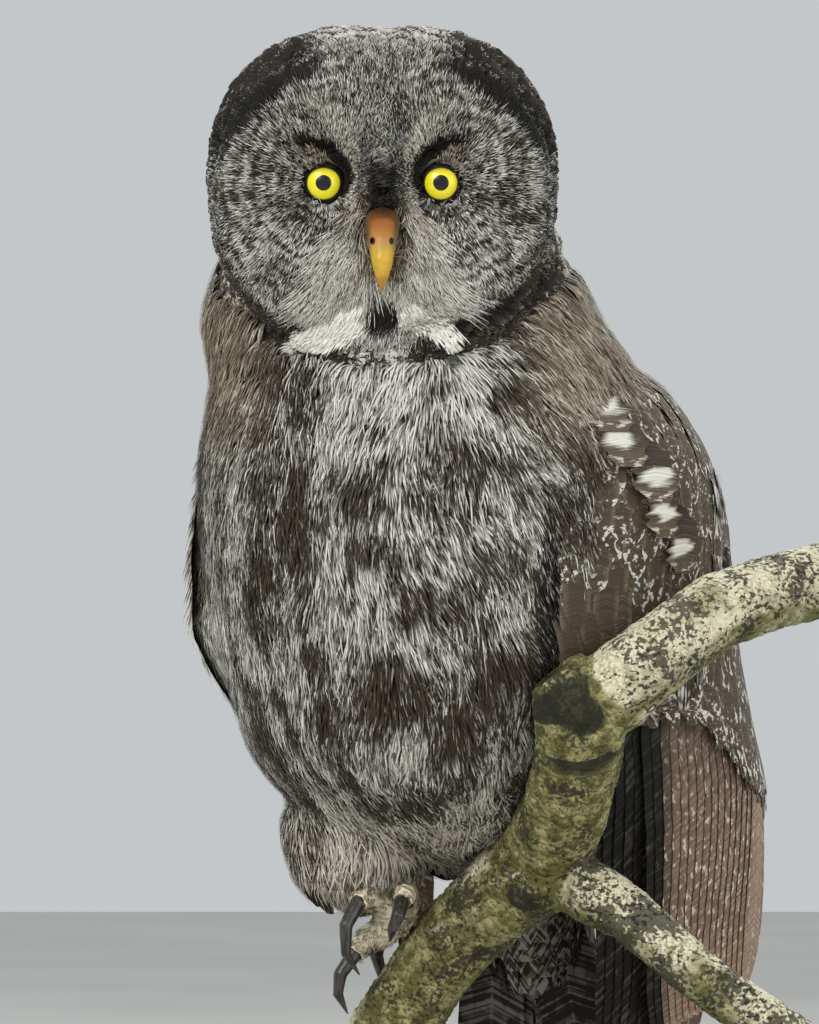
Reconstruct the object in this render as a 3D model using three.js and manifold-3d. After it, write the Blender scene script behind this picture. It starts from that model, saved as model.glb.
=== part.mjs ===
// A great grey owl at life size, perched on a cut fork of a branch over a plain display stand.
// Millimetres, +Z up. The face looks along -Y and the owl's left is towards +X.
// The origin is the centre of the stand's underside.
import * as THREE from "three";
import { mergeVertices } from "three/addons/utils/BufferGeometryUtils.js";
import Module from "manifold-3d";

const wasm = await Module();
wasm.setup();

// Driving sizes
const GAP = 0.3; // between pieces that touch
const OWL_TOP = 683; // crown above the stand's underside
const TAIL_TIP = 34; // lowest tail feather above the stand's underside
const HEAD_WIDTH = 174;
const EYE_SPACING = 58;
const IRIS_WIDTH = 17;
const BASE_THICKNESS = 18;
const BASE_LENGTH = 300;
const BASE_DEPTH = 252;
const ROD_RADIUS = 5;
const BODY_TURN = THREE.MathUtils.degToRad(26); // the body's turn to the owl's right, below a face that looks ahead
const BODY_X = -32; // the body frame's upright axis
const BODY_Y = 0;

const { PI, cos, sin, abs, sign, hypot, exp, min, max } = Math;

// A point given as left, forward and up of the turned body, in the model's frame
function onBody(left, forward, up) {
  return new THREE.Vector3(
    BODY_X + left * cos(BODY_TURN) - forward * sin(BODY_TURN),
    BODY_Y - left * sin(BODY_TURN) - forward * cos(BODY_TURN),
    up,
  );
}

// Smooth values between the rows of a table, whose first column is the height and whose highest row is first
function between(rows, up) {
  const below = rows.findIndex((row) => row[0] <= up);
  const i = below < 0 ? rows.length - 1 : max(below, 1);
  const [a, b] = [rows[i - 1], rows[i]];
  const [before, after] = [rows[max(i - 2, 0)], rows[min(i + 1, rows.length - 1)]];
  const t = (a[0] - up) / (a[0] - b[0]);
  return a.map((value, k) => {
    if (k === 0) return up;
    const bend = (b[k] - before[k]) / 2;
    const leave = (after[k] - value) / 2;
    const rise = b[k] - value;
    return value + t * bend + t * t * (3 * rise - 2 * bend - leave) + t ** 3 * (bend + leave - 2 * rise);
  });
}

// Heights from one end of a table to the other
function levels(rows, count) {
  const [top, bottom] = [rows[0][0], rows[rows.length - 1][0]];
  return Array.from({ length: count }, (unused, i) => top + ((bottom - top) * i) / (count - 1));
}

// Cosine of an angle drawn towards the corners, for a rounded square outline
function squared(value, roundness) {
  return sign(value) * abs(value) ** (2 / roundness);
}

// A closed shape through rings of points, with a fan over each end and its faces out
function loft(rings) {
  const sides = rings[0].length;
  const points = rings.flat();
  const faces = [];
  for (let r = 0; r + 1 < rings.length; r += 1) {
    for (let s = 0; s < sides; s += 1) {
      const [a, b] = [r * sides + s, r * sides + ((s + 1) % sides)];
      faces.push([a, b, b + sides], [a, b + sides, a + sides]);
    }
  }
  const last = (rings.length - 1) * sides;
  const first = points.length;
  [rings[0], rings[rings.length - 1]].forEach((ring) => {
    const middle = ring.reduce((sum, p) => sum.add(p), new THREE.Vector3()).divideScalar(sides);
    points.push(middle);
  });
  for (let s = 0; s < sides; s += 1) {
    const next = (s + 1) % sides;
    faces.push([next, s, first], [last + s, last + next, first + 1]);
  }
  return facingOut({ points, faces });
}

// The same shape with its faces turned where they point inwards
function facingOut({ points, faces }) {
  const volume = faces.reduce(
    (sum, [a, b, c]) => sum + points[a].dot(new THREE.Vector3().crossVectors(points[b], points[c])),
    0,
  );
  return { points, faces: volume > 0 ? faces : faces.map(([a, b, c]) => [a, c, b]) };
}

// A shape whose surface lies further out all round
function grown({ points, faces }, by = GAP) {
  const normals = points.map(() => new THREE.Vector3());
  faces.forEach((face) => {
    const [a, b, c] = face.map((k) => points[k]);
    const across = new THREE.Vector3().subVectors(b, a).cross(new THREE.Vector3().subVectors(c, a));
    face.forEach((k) => normals[k].add(across));
  });
  return { points: points.map((p, k) => p.clone().addScaledVector(normals[k].normalize(), by)), faces };
}

function solidOfGeometry(geometry) {
  const bare = geometry.clone();
  bare.deleteAttribute("normal");
  bare.deleteAttribute("uv");
  const merged = mergeVertices(bare, 1e-4);
  return new wasm.Manifold(
    new wasm.Mesh({
      numProp: 3,
      vertProperties: new Float32Array(merged.attributes.position.array),
      triVerts: new Uint32Array(merged.index.array),
    }),
  );
}

function solid({ points, faces }) {
  const geometry = new THREE.BufferGeometry().setFromPoints(points);
  geometry.setIndex(faces.flat());
  return solidOfGeometry(geometry);
}

function joined(solids) {
  return solids.reduce((whole, piece) => whole.add(piece));
}

function cut(whole, ...tools) {
  return tools.reduce((left, tool) => left.subtract(tool), whole);
}

// The largest closed surface of a solid
function largest(whole) {
  return whole.decompose().reduce((best, piece) => (piece.volume() > best.volume() ? piece : best));
}

function geometryOf(whole) {
  const mesh = whole.getMesh();
  const geometry = new THREE.BufferGeometry();
  geometry.setAttribute("position", new THREE.BufferAttribute(new Float32Array(mesh.vertProperties), 3));
  geometry.setIndex(new THREE.BufferAttribute(new Uint32Array(mesh.triVerts), 1));
  return geometry;
}

const owl = new THREE.Group();
const SLIVER = 0.03; // detail finer than this is smoothed away
const GRAIN = 0.001; // points are set on a grid this fine, which closes the slivers left by a cut

// The same solid with its points on the grid, and the faces that close up there left out
function settled(whole) {
  const geometry = geometryOf(whole);
  const places = geometry.attributes.position.array;
  places.forEach((value, k) => {
    places[k] = Math.round(value / GRAIN) * GRAIN;
  });
  const merged = mergeVertices(geometry, GRAIN / 10);
  const corners = Array.from(merged.index.array);
  const open = corners.filter((unused, k) => {
    const [a, b, c] = corners.slice(k - (k % 3), k - (k % 3) + 3);
    return a !== b && b !== c && c !== a;
  });
  merged.setIndex(open);
  return largest(solidOfGeometry(merged));
}

function add(name, shape, material) {
  const piece = new THREE.Mesh(geometryOf(settled(largest(shape)).simplify(SLIVER)), material);
  piece.name = name;
  owl.add(piece);
}

function finish(color, roughness, metalness = 0) {
  return new THREE.MeshStandardMaterial({ color, roughness, metalness });
}

const greyPlumage = finish(0x6b625a, 0.95);
const facePlumage = finish(0x77726c, 0.95);
const wingPlumage = finish(0x4c4138, 0.9);
const tailPlumage = finish(0x473d35, 0.9);
const furryToes = finish(0x8a7358, 0.95);
const yellowIris = finish(0xf0dc1e, 0.15);
const billHorn = finish(0xd19a2c, 0.4);
const blackHorn = finish(0x23262a, 0.3);
const paleBark = finish(0xb9ad88, 0.9);
const mossyBark = finish(0x7f7a4c, 0.95);
const baseWood = finish(0x5b3a24, 0.5);
const darkMetal = finish(0x2b2a28, 0.4, 1);

// Torso and neck, as level rings: height, then left and forward of the middle, half width, front depth, back depth
const TORSO_TOP = 505;
const TORSO_RINGS = [
  [TORSO_TOP, -4, 24, 109, 102, 102],
  [476, -3, 22, 115, 115, 110],
  [436, 0, 20, 118, 121, 115],
  [400, 0, 17, 115, 119, 112],
  [371, 0, 14, 110, 114, 108],
  [342, -1, 11, 103, 108, 103],
  [314, -4, 8, 92, 98, 97],
  [292, -5, -2, 74, 80, 85],
  [276, -5, -14, 52, 54, 66],
  [264, -4, -26, 32, 30, 42],
  [258, -4, -32, 12, 10, 16],
];
const NECK_RINGS = [
  [622, -24, 22, 26, 22, 22],
  [606, -23, 24, 60, 46, 46],
  [579, -22, 28, 88, 60, 61],
  [560, -20, 27, 97, 68, 68],
  [536, -18, 25, 105, 82, 79],
  [TORSO_TOP + GAP, -4, 24, 109, 102, 102],
];
const TORSO_SIDES = 28;
const BODY_ROUNDNESS = 2.15;

function bodyLoft(rows, count) {
  return loft(
    levels(rows, count).map((height) => {
      const [up, left, forward, side, front, back] = between(rows, height);
      return Array.from({ length: TORSO_SIDES }, (unused, k) => {
        const angle = (2 * PI * k) / TORSO_SIDES;
        const ahead = squared(sin(angle), BODY_ROUNDNESS);
        return onBody(
          left + side * squared(cos(angle), BODY_ROUNDNESS),
          forward + (ahead > 0 ? front : back) * ahead,
          up,
        );
      });
    }),
  );
}

// Head, with the face at the front of a rounded skull of feathers
const HEAD = new THREE.Vector3(-68.7, -47, OWL_TOP - 77);
const HEAD_SIDES = 40;
const CROWN_HEIGHT = 77;
const CHIN_DEPTH = 85;
const FACE_DEPTH = 62; // from the head's middle to the plane of the disc
const EYE_HEIGHT = -3;
const EYE_BALL = 12;

function bump(value, middle, width) {
  return exp(-(((value - middle) / width) ** 2));
}

// How far the face stands in front of the head's middle, with the dishes round the eyes, the ridge and the beard
function faceDepth(across, up, reach) {
  const eye = hypot(abs(across) - EYE_SPACING / 2, up - EYE_HEIGHT);
  const dish = 11 * bump(eye, 0, 21);
  const ridge = 11 * bump(across, 0, 9) * bump(up, 4, 42);
  const brow = 4 * bump(abs(across) - 0.35 * (up - EYE_HEIGHT), 12, 9) * bump(up, 34, 22);
  const beard = 8 * bump(abs(across), 14, 12) * bump(up, -50, 15);
  const rim = 4 * bump(reach, 0.88, 0.07);
  return FACE_DEPTH - 26 * reach ** 6 - dish + ridge + brow + beard + rim;
}

// The head's outline seen from the front, as a reach from its middle
function headOutline(angle) {
  const up = squared(sin(angle), 2.45);
  return {
    across: (HEAD_WIDTH / 2) * squared(cos(angle), 2.45),
    up: (up > 0 ? CROWN_HEIGHT : CHIN_DEPTH) * up - 2.5 * bump(cos(angle), 0.02, 0.1) * max(sin(angle), 0),
  };
}

const FACE_REACHES = [0.05, 0.14, 0.24, 0.34, 0.44, 0.54, 0.64, 0.74, 0.82, 0.88, 0.94, 1];
const NAPE_ARCS = [8, 20, 32, 44, 56, 68, 79, 87]; // degrees round the back of the skull
const NAPE_START = 24;
const NAPE_DEPTH = 96;

function headShape() {
  const ring = (reach, depth) =>
    Array.from({ length: HEAD_SIDES }, (unused, k) => {
      const { across, up } = headOutline((2 * PI * k) / HEAD_SIDES);
      const [x, z] = [across * reach, up * reach];
      return new THREE.Vector3(x, -depth(x, z), z).add(HEAD);
    });
  const face = FACE_REACHES.map((reach) => ring(reach, (x, z) => faceDepth(x, z, reach)));
  const nape = NAPE_ARCS.map((degrees) => {
    const arc = THREE.MathUtils.degToRad(degrees);
    return ring(cos(arc) ** 0.9, () => NAPE_START - NAPE_DEPTH * sin(arc));
  });
  return loft([...face, ...nape]);
}

function onHead(across, depth, up) {
  return new THREE.Vector3(across, -depth, up).add(HEAD);
}

// A closed tube of changing width and height through stations of centre, half width and half height
function tube(stations, sides, sideways = new THREE.Vector3(1, 0, 0)) {
  const path = new THREE.CatmullRomCurve3(stations.map(([centre]) => centre));
  return loft(
    stations.map(([centre, wide, high], i) => {
      const along = path.getTangent(i / (stations.length - 1));
      const over = new THREE.Vector3().crossVectors(along, sideways).normalize();
      const side = new THREE.Vector3().crossVectors(over, along).normalize();
      return Array.from({ length: sides }, (unused, k) => {
        const angle = (2 * PI * k) / sides;
        return centre
          .clone()
          .addScaledVector(side, wide * cos(angle))
          .addScaledVector(over, high * sin(angle));
      });
    }),
  );
}

function eyeSolid(sideOfHead, extra = 0) {
  const ball = new THREE.SphereGeometry(EYE_BALL + extra, 18, 10);
  ball.rotateX(-PI / 2);
  const centre = onHead((sideOfHead * EYE_SPACING) / 2, 45.5, EYE_HEIGHT);
  ball.translate(centre.x, centre.y, centre.z);
  return solidOfGeometry(ball);
}

// A lid ring round the opening that shows the iris
function lidSolid(sideOfHead) {
  const lid = new THREE.TorusGeometry(IRIS_WIDTH / 2 + 2.4, 2.3, 6, 20);
  lid.rotateX(PI / 2);
  lid.scale(1.04, 1.5, 1);
  const centre = onHead((sideOfHead * EYE_SPACING) / 2, 52.5, EYE_HEIGHT);
  lid.translate(centre.x, centre.y, centre.z);
  return solidOfGeometry(lid);
}

// The bill, as stations of depth and height on the head, half width and half height
const UPPER_BILL = [
  [54, -23, 9, 9],
  [66, -24, 8.8, 9],
  [75, -28, 8.3, 8.8],
  [82, -35, 6.8, 7.4],
  [85.5, -43, 5.2, 5.6],
  [86, -50, 3.4, 3.6],
  [84, -57, 0.7, 0.8],
];
const LOWER_BILL = [
  [52, -38, 6.5, 5],
  [62, -41, 6, 4.6],
  [71, -45, 4.8, 3.8],
  [77, -49, 3, 2.4],
];

function billShape(stations) {
  return tube(
    stations.map(([depth, up, wide, high]) => [onHead(0, depth, up), wide, high]),
    16,
  );
}

function nostril(sideOfHead) {
  const slit = new THREE.SphereGeometry(1, 8, 6);
  slit.scale(1.3, 3, 2.2);
  const centre = onHead(sideOfHead * 4.6, 83.5, -32.5);
  slit.translate(centre.x, centre.y, centre.z);
  return solidOfGeometry(slit);
}

// Each folded wing as a sheet: height, left and forward of its front edge, the same of its rear edge, and its bulge
const LEFT_WING = {
  side: 1,
  rows: [
    [524, 56, 36, 34, -60, 30],
    [500, 86, 58, 60, -86, 34],
    [470, 102, 66, 80, -100, 34],
    [436, 105, 76, 94, -108, 33],
    [400, 101, 80, 100, -110, 31],
    [371, 99, 72, 106, -110, 29],
    [330, 97, 46, 115, -111, 25],
    [294, 94, 20, 122, -112, 20],
    [216, 84, -14, 118, -110, 11],
    [150, 70, -44, 98, -110, 6],
    [84, 58, -72, 74, -108, 3],
  ],
};
const RIGHT_WING = {
  side: -1,
  rows: [
    [524, 66, 40, 34, -60, 30],
    [500, 90, 60, 50, -84, 36],
    [470, 107, 64, 60, -100, 38],
    [436, 118, 58, 66, -109, 38],
    [400, 122, 52, 69, -112, 36],
    [371, 122, 43, 70, -112, 34],
    [314, 107, -8, 72, -112, 26],
    [270, 90, -40, 74, -112, 17],
    [221, 74, -72, 77, -112, 7],
    [150, 73, -84, 80, -112, 4],
    [84, 77, -90, 83, -110, 3],
  ],
};
const SHIELD_BOTTOM = 318;
const SHIELD_THICKNESS = 25;
const SHEET_STEPS = 8;

// A point of a wing sheet: 0 at the front edge to 1 at the rear edge, at a height, lifted off the sheet
function onWing(wing, across, height, lift) {
  const [up, frontLeft, frontAhead, rearLeft, rearAhead, bulge] = between(wing.rows, height);
  const [sideways, ahead] = [rearLeft - frontLeft, rearAhead - frontAhead];
  const length = hypot(sideways, ahead);
  const out = bulge * 4 * across * (1 - across) + lift;
  const left = frontLeft + sideways * across - (ahead / length) * out;
  const forward = frontAhead + ahead * across + (sideways / length) * out;
  return onBody(wing.side * left, forward, up);
}

// A slab of the wing between two heights, thick at its middle and thin at its edges
function wingSlab(wing, top, bottom, thickness, lift, steps) {
  const rings = Array.from({ length: steps + 1 }, (unused, i) => {
    const down = i / steps;
    const height = top + (bottom - top) * down;
    const outer = [];
    const inner = [];
    for (let k = 0; k <= SHEET_STEPS; k += 1) {
      const across = k / SHEET_STEPS;
      const thick = thickness(down) * (0.3 + 0.7 * (4 * across * (1 - across)) ** 0.5);
      outer.push(onWing(wing, across, height, lift));
      inner.unshift(onWing(wing, across, height, lift - thick));
    }
    return [...outer, ...inner];
  });
  return loft(rings);
}

// Share of a vane's full half width at a share of its length
function vaneWidth(t) {
  return min(0.45 + 2 * t, 1) * (t < 0.8 ? 1 : 1 - 0.78 * ((t - 0.8) / 0.2) ** 2);
}

const VANE_THICKNESS = 0.7;
const EDGE_THICKNESS = 0.5;

// A thin vane through stations of front edge, shaft and rear edge points, each with its outward direction
function vaneShape(stations) {
  const points = [];
  const faces = [];
  stations.forEach(({ edgeA, shaft, edgeB, out }, i) => {
    const taper = i === stations.length - 1 ? 0.6 : 1;
    const thick = [EDGE_THICKNESS, VANE_THICKNESS, EDGE_THICKNESS].map((value) => (value * taper) / 2);
    [edgeA, shaft, edgeB].forEach((point, k) => {
      points.push(point.clone().addScaledVector(out, thick[k]), point.clone().addScaledVector(out, -thick[k]));
    });
  });
  // Each station is three pairs of points, above and below, split alike on both faces
  const square = (a, b, c, d) => faces.push([a, b, c], [a, c, d]);
  for (let i = 0; i + 1 < stations.length; i += 1) {
    const [near, far] = [6 * i, 6 * (i + 1)];
    [0, 2].forEach((k) => {
      square(near + k, near + k + 2, far + k + 2, far + k);
      faces.push([near + k + 1, far + k + 3, near + k + 3], [near + k + 1, far + k + 1, far + k + 3]);
    });
    square(near + 1, near, far, far + 1);
    square(near + 4, near + 5, far + 5, far + 4);
  }
  const last = 6 * (stations.length - 1);
  [0, 2].forEach((k) => {
    square(k + 1, k + 3, k + 2, k);
    square(last + k, last + k + 2, last + k + 3, last + k + 1);
  });
  return facingOut({ points, faces });
}

// Folded feathers bend together at these heights, so that they stay apart in the stack
const FOLD_TOP = 376;
const FOLD_STEP = 56;
const FAN_OUT = FOLD_STEP; // height in which a vane leaves the others at its root

// A point on the sheet between two folds
function onFold(wing, across, height, lift) {
  const folds = (FOLD_TOP - height) / FOLD_STEP;
  const above = FOLD_TOP - FOLD_STEP * Math.floor(folds);
  const share = folds - Math.floor(folds);
  return onWing(wing, across, above, lift).lerp(onWing(wing, across, above - FOLD_STEP, lift), share);
}

// A vane laid on a wing sheet from a root to a tip, each given as across, height and lift
function wingVane(wing, root, tip, halfWidth) {
  const heights = [root[1]];
  for (let height = FOLD_TOP - FOLD_STEP; height > tip[1] + 14; height -= FOLD_STEP) {
    if (height < root[1] - 10) heights.push(height);
  }
  heights.push(tip[1] + 6, tip[1]);
  return vaneShape(
    heights.map((height) => {
      const t = (root[1] - height) / (root[1] - tip[1]);
      const across = root[0] + (tip[0] - root[0]) * t;
      const lift = root[2] + (tip[2] - root[2]) * min((root[1] - height) / FAN_OUT, 1);
      const step = 0.01;
      const sideways = onFold(wing, across + step, height, lift).sub(onFold(wing, across - step, height, lift));
      const down = onFold(wing, across, height - 1, lift).sub(onFold(wing, across, height + 1, lift));
      const aside = min((halfWidth * vaneWidth(t) * 2 * step) / sideways.length(), 0.3);
      return {
        edgeA: onFold(wing, across - aside, height, lift),
        shaft: onFold(wing, across, height, lift),
        edgeB: onFold(wing, across + aside, height, lift),
        out: new THREE.Vector3().crossVectors(sideways, down).normalize(),
      };
    }),
  );
}

// Tiers of flight feathers: how many, their half width, the height and lift of their roots, and where the
// first one's root and tip lie across the wing, with the steps from each feather to the next
const PRIMARIES = {
  count: 7,
  halfWidth: 14,
  rootHeight: FOLD_TOP,
  rootLift: -7,
  root: [0.12, 0.035],
  tip: [0.2, 0.09],
};
const SECONDARIES = {
  count: 9,
  halfWidth: 19,
  rootHeight: FOLD_TOP,
  rootLift: -5,
  root: [0.26, 0.066],
  tip: [0.4, 0.066],
};
const COVERTS = {
  count: 8,
  halfWidth: 16,
  rootHeight: 396,
  rootLift: -3,
  root: [0.1, 0.108],
  tip: [0.14, 0.108],
};
const PRIMARY_TIPS = [116, 99, 89, 85, 94, 108, 126]; // heights
const SECONDARY_TIP = 176; // height of the foremost tip
const SECONDARY_RISE = 3; // from each tip to the next one back
const COVERT_TIP = 313;
const COVERT_UNEVEN = 7; // how far the covert tips vary in height
const STACK_STEP = 1.5; // from one folded flight feather to the next

function tierVanes(wing, tier, tipHeight, tipLift) {
  return Array.from({ length: tier.count }, (unused, k) =>
    wingVane(
      wing,
      [tier.root[0] + tier.root[1] * k, tier.rootHeight, tier.rootLift],
      [tier.tip[0] + tier.tip[1] * k, tipHeight(k), tipLift(k)],
      tier.halfWidth,
    ),
  );
}

// Lift of a folded feather that has this many others above it
function stacked(above) {
  return -1 - STACK_STEP * above;
}

function flightVanes(wing) {
  const folded = PRIMARIES.count + SECONDARIES.count;
  return [
    ...tierVanes(
      wing,
      PRIMARIES,
      (k) => PRIMARY_TIPS[k],
      (k) => stacked(folded - 1 - k),
    ),
    ...tierVanes(
      wing,
      SECONDARIES,
      (k) => SECONDARY_TIP + SECONDARY_RISE * k,
      (k) => stacked(SECONDARIES.count - 1 - k),
    ),
    ...tierVanes(
      wing,
      COVERTS,
      (k) => COVERT_TIP - COVERT_UNEVEN * sin(1.3 * k),
      (k) => 1 + STACK_STEP * (k % 2),
    ),
  ];
}

function wingSolid(wing, clear) {
  const top = wing.rows[0][0];
  const shield = wingSlab(wing, top, SHIELD_BOTTOM, (down) => SHIELD_THICKNESS * (1 - 0.5 * down), 0, 10);
  return cut(joined([shield, ...flightVanes(wing)].map(solid)), ...clear);
}

// Tail, hung from its coverts: height, forward of the body's axis, half width, half depth
const TAIL_ROOT = [
  [300, -56, 46, 30],
  [270, -74, 44, 27],
  [240, -88, 40, 21],
  [210, -100, 34, 13],
  [186, -106, 24, 5],
];

function tailRootShape() {
  return loft(
    levels(TAIL_ROOT, 7).map((height) => {
      const [up, forward, wide, deep] = between(TAIL_ROOT, height);
      return Array.from({ length: 20 }, (unused, k) => {
        const angle = (2 * PI * k) / 20;
        return onBody(wide * cos(angle), forward + deep * sin(angle), up);
      });
    }),
  );
}

const TAIL_PAIRS = 6;
const TAIL_HALF_WIDTH = 19;
const TAIL_STEP = 1.1; // from one tail feather to the one under it
const TAIL_ROOT_HEIGHT = 262;
const TAIL_ROOT_AHEAD = -90;
const TAIL_SLOPE = 0.15; // backward for each unit down, the same for all so that none cross
const TAIL_FAN = { root: [3, 2.4], tip: [5, 6] }; // aside of the middle pair, and the step to each pair further out
const TAIL_ROUNDING = 1.15; // how much higher the outer pairs end
const TAIL_STATIONS = [0, 0.3, 0.75, 0.93, 1];

// Tail feathers in pairs, the middle pair longest and on top
function tailVanes() {
  return Array.from({ length: 2 * TAIL_PAIRS }, (unused, order) => {
    const pair = Math.floor(order / 2);
    const side = order % 2 ? -1 : 1;
    const [rootLeft, tipLeft] = [TAIL_FAN.root, TAIL_FAN.tip].map(([first, step]) => side * (first + step * pair));
    const root = [rootLeft, TAIL_ROOT_AHEAD + TAIL_STEP * order, TAIL_ROOT_HEIGHT];
    const tipHeight = TAIL_TIP + TAIL_ROUNDING * pair * pair;
    const tip = [tipLeft, root[1] - TAIL_SLOPE * (TAIL_ROOT_HEIGHT - tipHeight), tipHeight];
    return vaneShape(
      TAIL_STATIONS.map((t) => {
        const [left, forward, up] = root.map((value, k) => value + (tip[k] - value) * t);
        const edge = TAIL_HALF_WIDTH * vaneWidth(t);
        return {
          edgeA: onBody(left - edge, forward, up),
          shaft: onBody(left, forward, up),
          edgeB: onBody(left + edge, forward, up),
          out: onBody(0, -1, 0).sub(onBody(0, 0, 0)),
        };
      }),
    );
  });
}

function tailSolid(clear) {
  return cut(joined([tailRootShape(), ...tailVanes()].map(solid)), ...clear);
}

// Legs as feathered trousers, and feet with four toes each: every point is in the model's frame
function at(x, y, z) {
  return new THREE.Vector3(x, y, z);
}

function round(points, radii) {
  return points.map((point, i) => [point, radii[i], radii[i]]);
}

const RIGHT_LEG = [
  [at(-66, 2, 336), 36],
  [at(-74, -2, 306), 41],
  [at(-80, -5, 280), 38],
  [at(-79, -9, 262), 31],
  [at(-75, -14, 249), 22],
  [at(-71, -17, 241), 11],
];
const LEFT_LEG = [
  [at(18, -16, 336), 36],
  [at(18, -14, 316), 39],
  [at(16, -12, 298), 34],
  [at(13, -13, 284), 24],
  [at(11, -15, 275), 12],
];

function legShape(stations) {
  return tube(
    stations.map(([centre, radius]) => [centre, radius, radius]),
    20,
  );
}

// Each toe runs from the foot through its knuckle to its end, and its claw goes on from there
const RIGHT_FOOT = {
  pad: [at(-62, -20, 235), 13, 12, 10],
  toes: [
    [at(-64, -24, 238), at(-76, -36, 249), at(-82, -44, 245)],
    [at(-57, -26, 241), at(-58, -43, 249), at(-59, -52, 246)],
    [at(-66, -19, 230), at(-77, -27, 226), at(-84, -32, 218)],
    [at(-60, -12, 236), at(-66, 4, 236), at(-71, 13, 226)],
  ],
  claws: [
    [at(-87, -49, 234), at(-87, -50, 220), at(-80, -47, 209)],
    [at(-61, -57, 239), at(-64, -57, 232), at(-65, -54, 226)],
    [at(-90, -35, 209), at(-91, -36, 199), at(-86, -34, 189)],
    [at(-72, 19, 216), at(-69, 20, 206), at(-63, 17, 199)],
  ],
};
const LEFT_FOOT = {
  pad: [at(11, -16, 276), 13, 12, 9],
  toes: [
    [at(4, -12, 278), at(-8, -13, 279), at(-15, -12, 272)],
    [at(17, -13, 278), at(25, -12, 278), at(30, -10, 271)],
    [at(4, -8, 272), at(-4, 0, 268), at(-6, 4, 258)],
    [at(12, -8, 272), at(14, 2, 266), at(14, 6, 256)],
  ],
  claws: [
    [at(-16, -8, 263), at(-18, -5, 255), at(-16, -1, 249)],
    [at(32, -9, 265), at(33, -6, 257), at(31, -2, 252)],
    [at(-7, 5, 249), at(-5, 2, 241), at(-1, -3, 236)],
    [at(14, 7, 247), at(12, 4, 239), at(8, -1, 234)],
  ],
};
const TOE_RADII = [8.5, 8, 5.6];
const CLAW_RADII = [4.2, 3.6, 2.7, 0.5];

function footSolid(foot) {
  const [centre, wide, deep, high] = foot.pad;
  const pad = new THREE.SphereGeometry(1, 12, 8);
  pad.scale(wide, deep, high);
  pad.translate(centre.x, centre.y, centre.z);
  const toes = foot.toes.map((toe) => solid(tube(round(toe, TOE_RADII), 8)));
  return joined([solidOfGeometry(pad), ...toes]);
}

function clawShape(foot, k) {
  const toeEnd = foot.toes[k][2].clone().lerp(foot.toes[k][1], 0.25);
  return tube(round([toeEnd, ...foot.claws[k]], CLAW_RADII), 8);
}

// Branch pieces, as centre lines with a radius at each point
const FORK = at(11.5, -46, 264);
const LOWER_LIMB = [
  [at(-78, -8, 162), 20.5],
  [at(-58.5, -13, 189), 21],
  [at(-44, -17, 210), 21],
  [at(-30.5, -21, 228.5), 21.5],
  [at(-6.5, -32, 252), 23],
  [FORK, 26],
  [at(27, -56, 268), 21],
];
const UPRIGHT = [
  [at(9, -38, 250), 18],
  [at(14, -54, 272), 24],
  [at(21.5, -78, 293), 22],
  [at(27.5, -99, 318), 22],
  [at(30, -112, 338), 24],
  [at(24, -117, 352), 22],
  [at(16, -118, 362), 15],
];
const UPPER_LIMB = [
  [at(28, -113, 336), 18],
  [at(44, -118, 351), 21.5],
  [at(57.5, -116, 364), 20.5],
  [at(79.5, -105, 379), 19.5],
  [at(97.5, -92, 391), 19.5],
  [at(113.5, -79, 397.5), 19.5],
  [at(140, -58, 404.5), 19],
  [at(160, -43, 409), 19],
];
const SIDE_BRANCH = [
  [at(14, -50, 262), 14],
  [at(36.5, -64, 251), 16.5],
  [at(54, -73, 240), 14],
  [at(70, -80, 226), 13.5],
  [at(86, -84, 213), 13.5],
  [at(103, -86, 200), 13],
  [at(121.5, -88, 188), 12.5],
  [at(142, -90, 175), 12],
];
const BARK_SIDES = 14;

// A branch with slightly uneven girth
function branchShape(stations, seed) {
  const path = new THREE.CatmullRomCurve3(stations.map(([centre]) => centre));
  const steps = stations.length - 1;
  return loft(
    stations.map(([centre, radius], i) => {
      const along = path.getTangent(i / steps);
      const over = new THREE.Vector3().crossVectors(along, at(0, 1, 0)).normalize();
      const side = new THREE.Vector3().crossVectors(over, along).normalize();
      return Array.from({ length: BARK_SIDES }, (unused, k) => {
        const angle = (2 * PI * k) / BARK_SIDES;
        const girth = radius * (1 + 0.045 * sin(3 * angle + seed + 1.7 * i));
        return centre
          .clone()
          .addScaledVector(side, girth * cos(angle))
          .addScaledVector(over, girth * sin(angle));
      });
    }),
  );
}

// Display stand: a base with rounded corners and two rods, each with a collar at its foot
const BASE_CORNER = 40;
const COLLAR_RADIUS = 13;
const COLLAR_HEIGHT = 6;
const RODS = [
  { name: "stand_rod_lower_limb", x: -60, y: -12.5, top: 190 },
  { name: "stand_rod_side_branch", x: 118, y: -87.5, top: 190 },
];

function baseSolid() {
  const [x, y, corner] = [BASE_LENGTH / 2, BASE_DEPTH / 2, BASE_CORNER];
  const outline = new THREE.Shape();
  outline.moveTo(-x + corner, -y);
  outline.lineTo(x - corner, -y);
  outline.absarc(x - corner, -y + corner, corner, -PI / 2, 0);
  outline.lineTo(x, y - corner);
  outline.absarc(x - corner, y - corner, corner, 0, PI / 2);
  outline.lineTo(-x + corner, y);
  outline.absarc(-x + corner, y - corner, corner, PI / 2, PI);
  outline.lineTo(-x, -y + corner);
  outline.absarc(-x + corner, -y + corner, corner, PI, 1.5 * PI);
  const bevel = 3;
  const base = new THREE.ExtrudeGeometry(outline, {
    depth: BASE_THICKNESS - bevel,
    curveSegments: 6,
    bevelThickness: bevel,
    bevelSize: bevel,
    bevelOffset: -bevel,
    bevelSegments: 1,
    bevelEnabled: true,
  });
  const under = new THREE.BoxGeometry(2 * BASE_LENGTH, 2 * BASE_DEPTH, 2 * bevel);
  under.translate(0, 0, -bevel);
  return cut(solidOfGeometry(base), solidOfGeometry(under));
}

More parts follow.
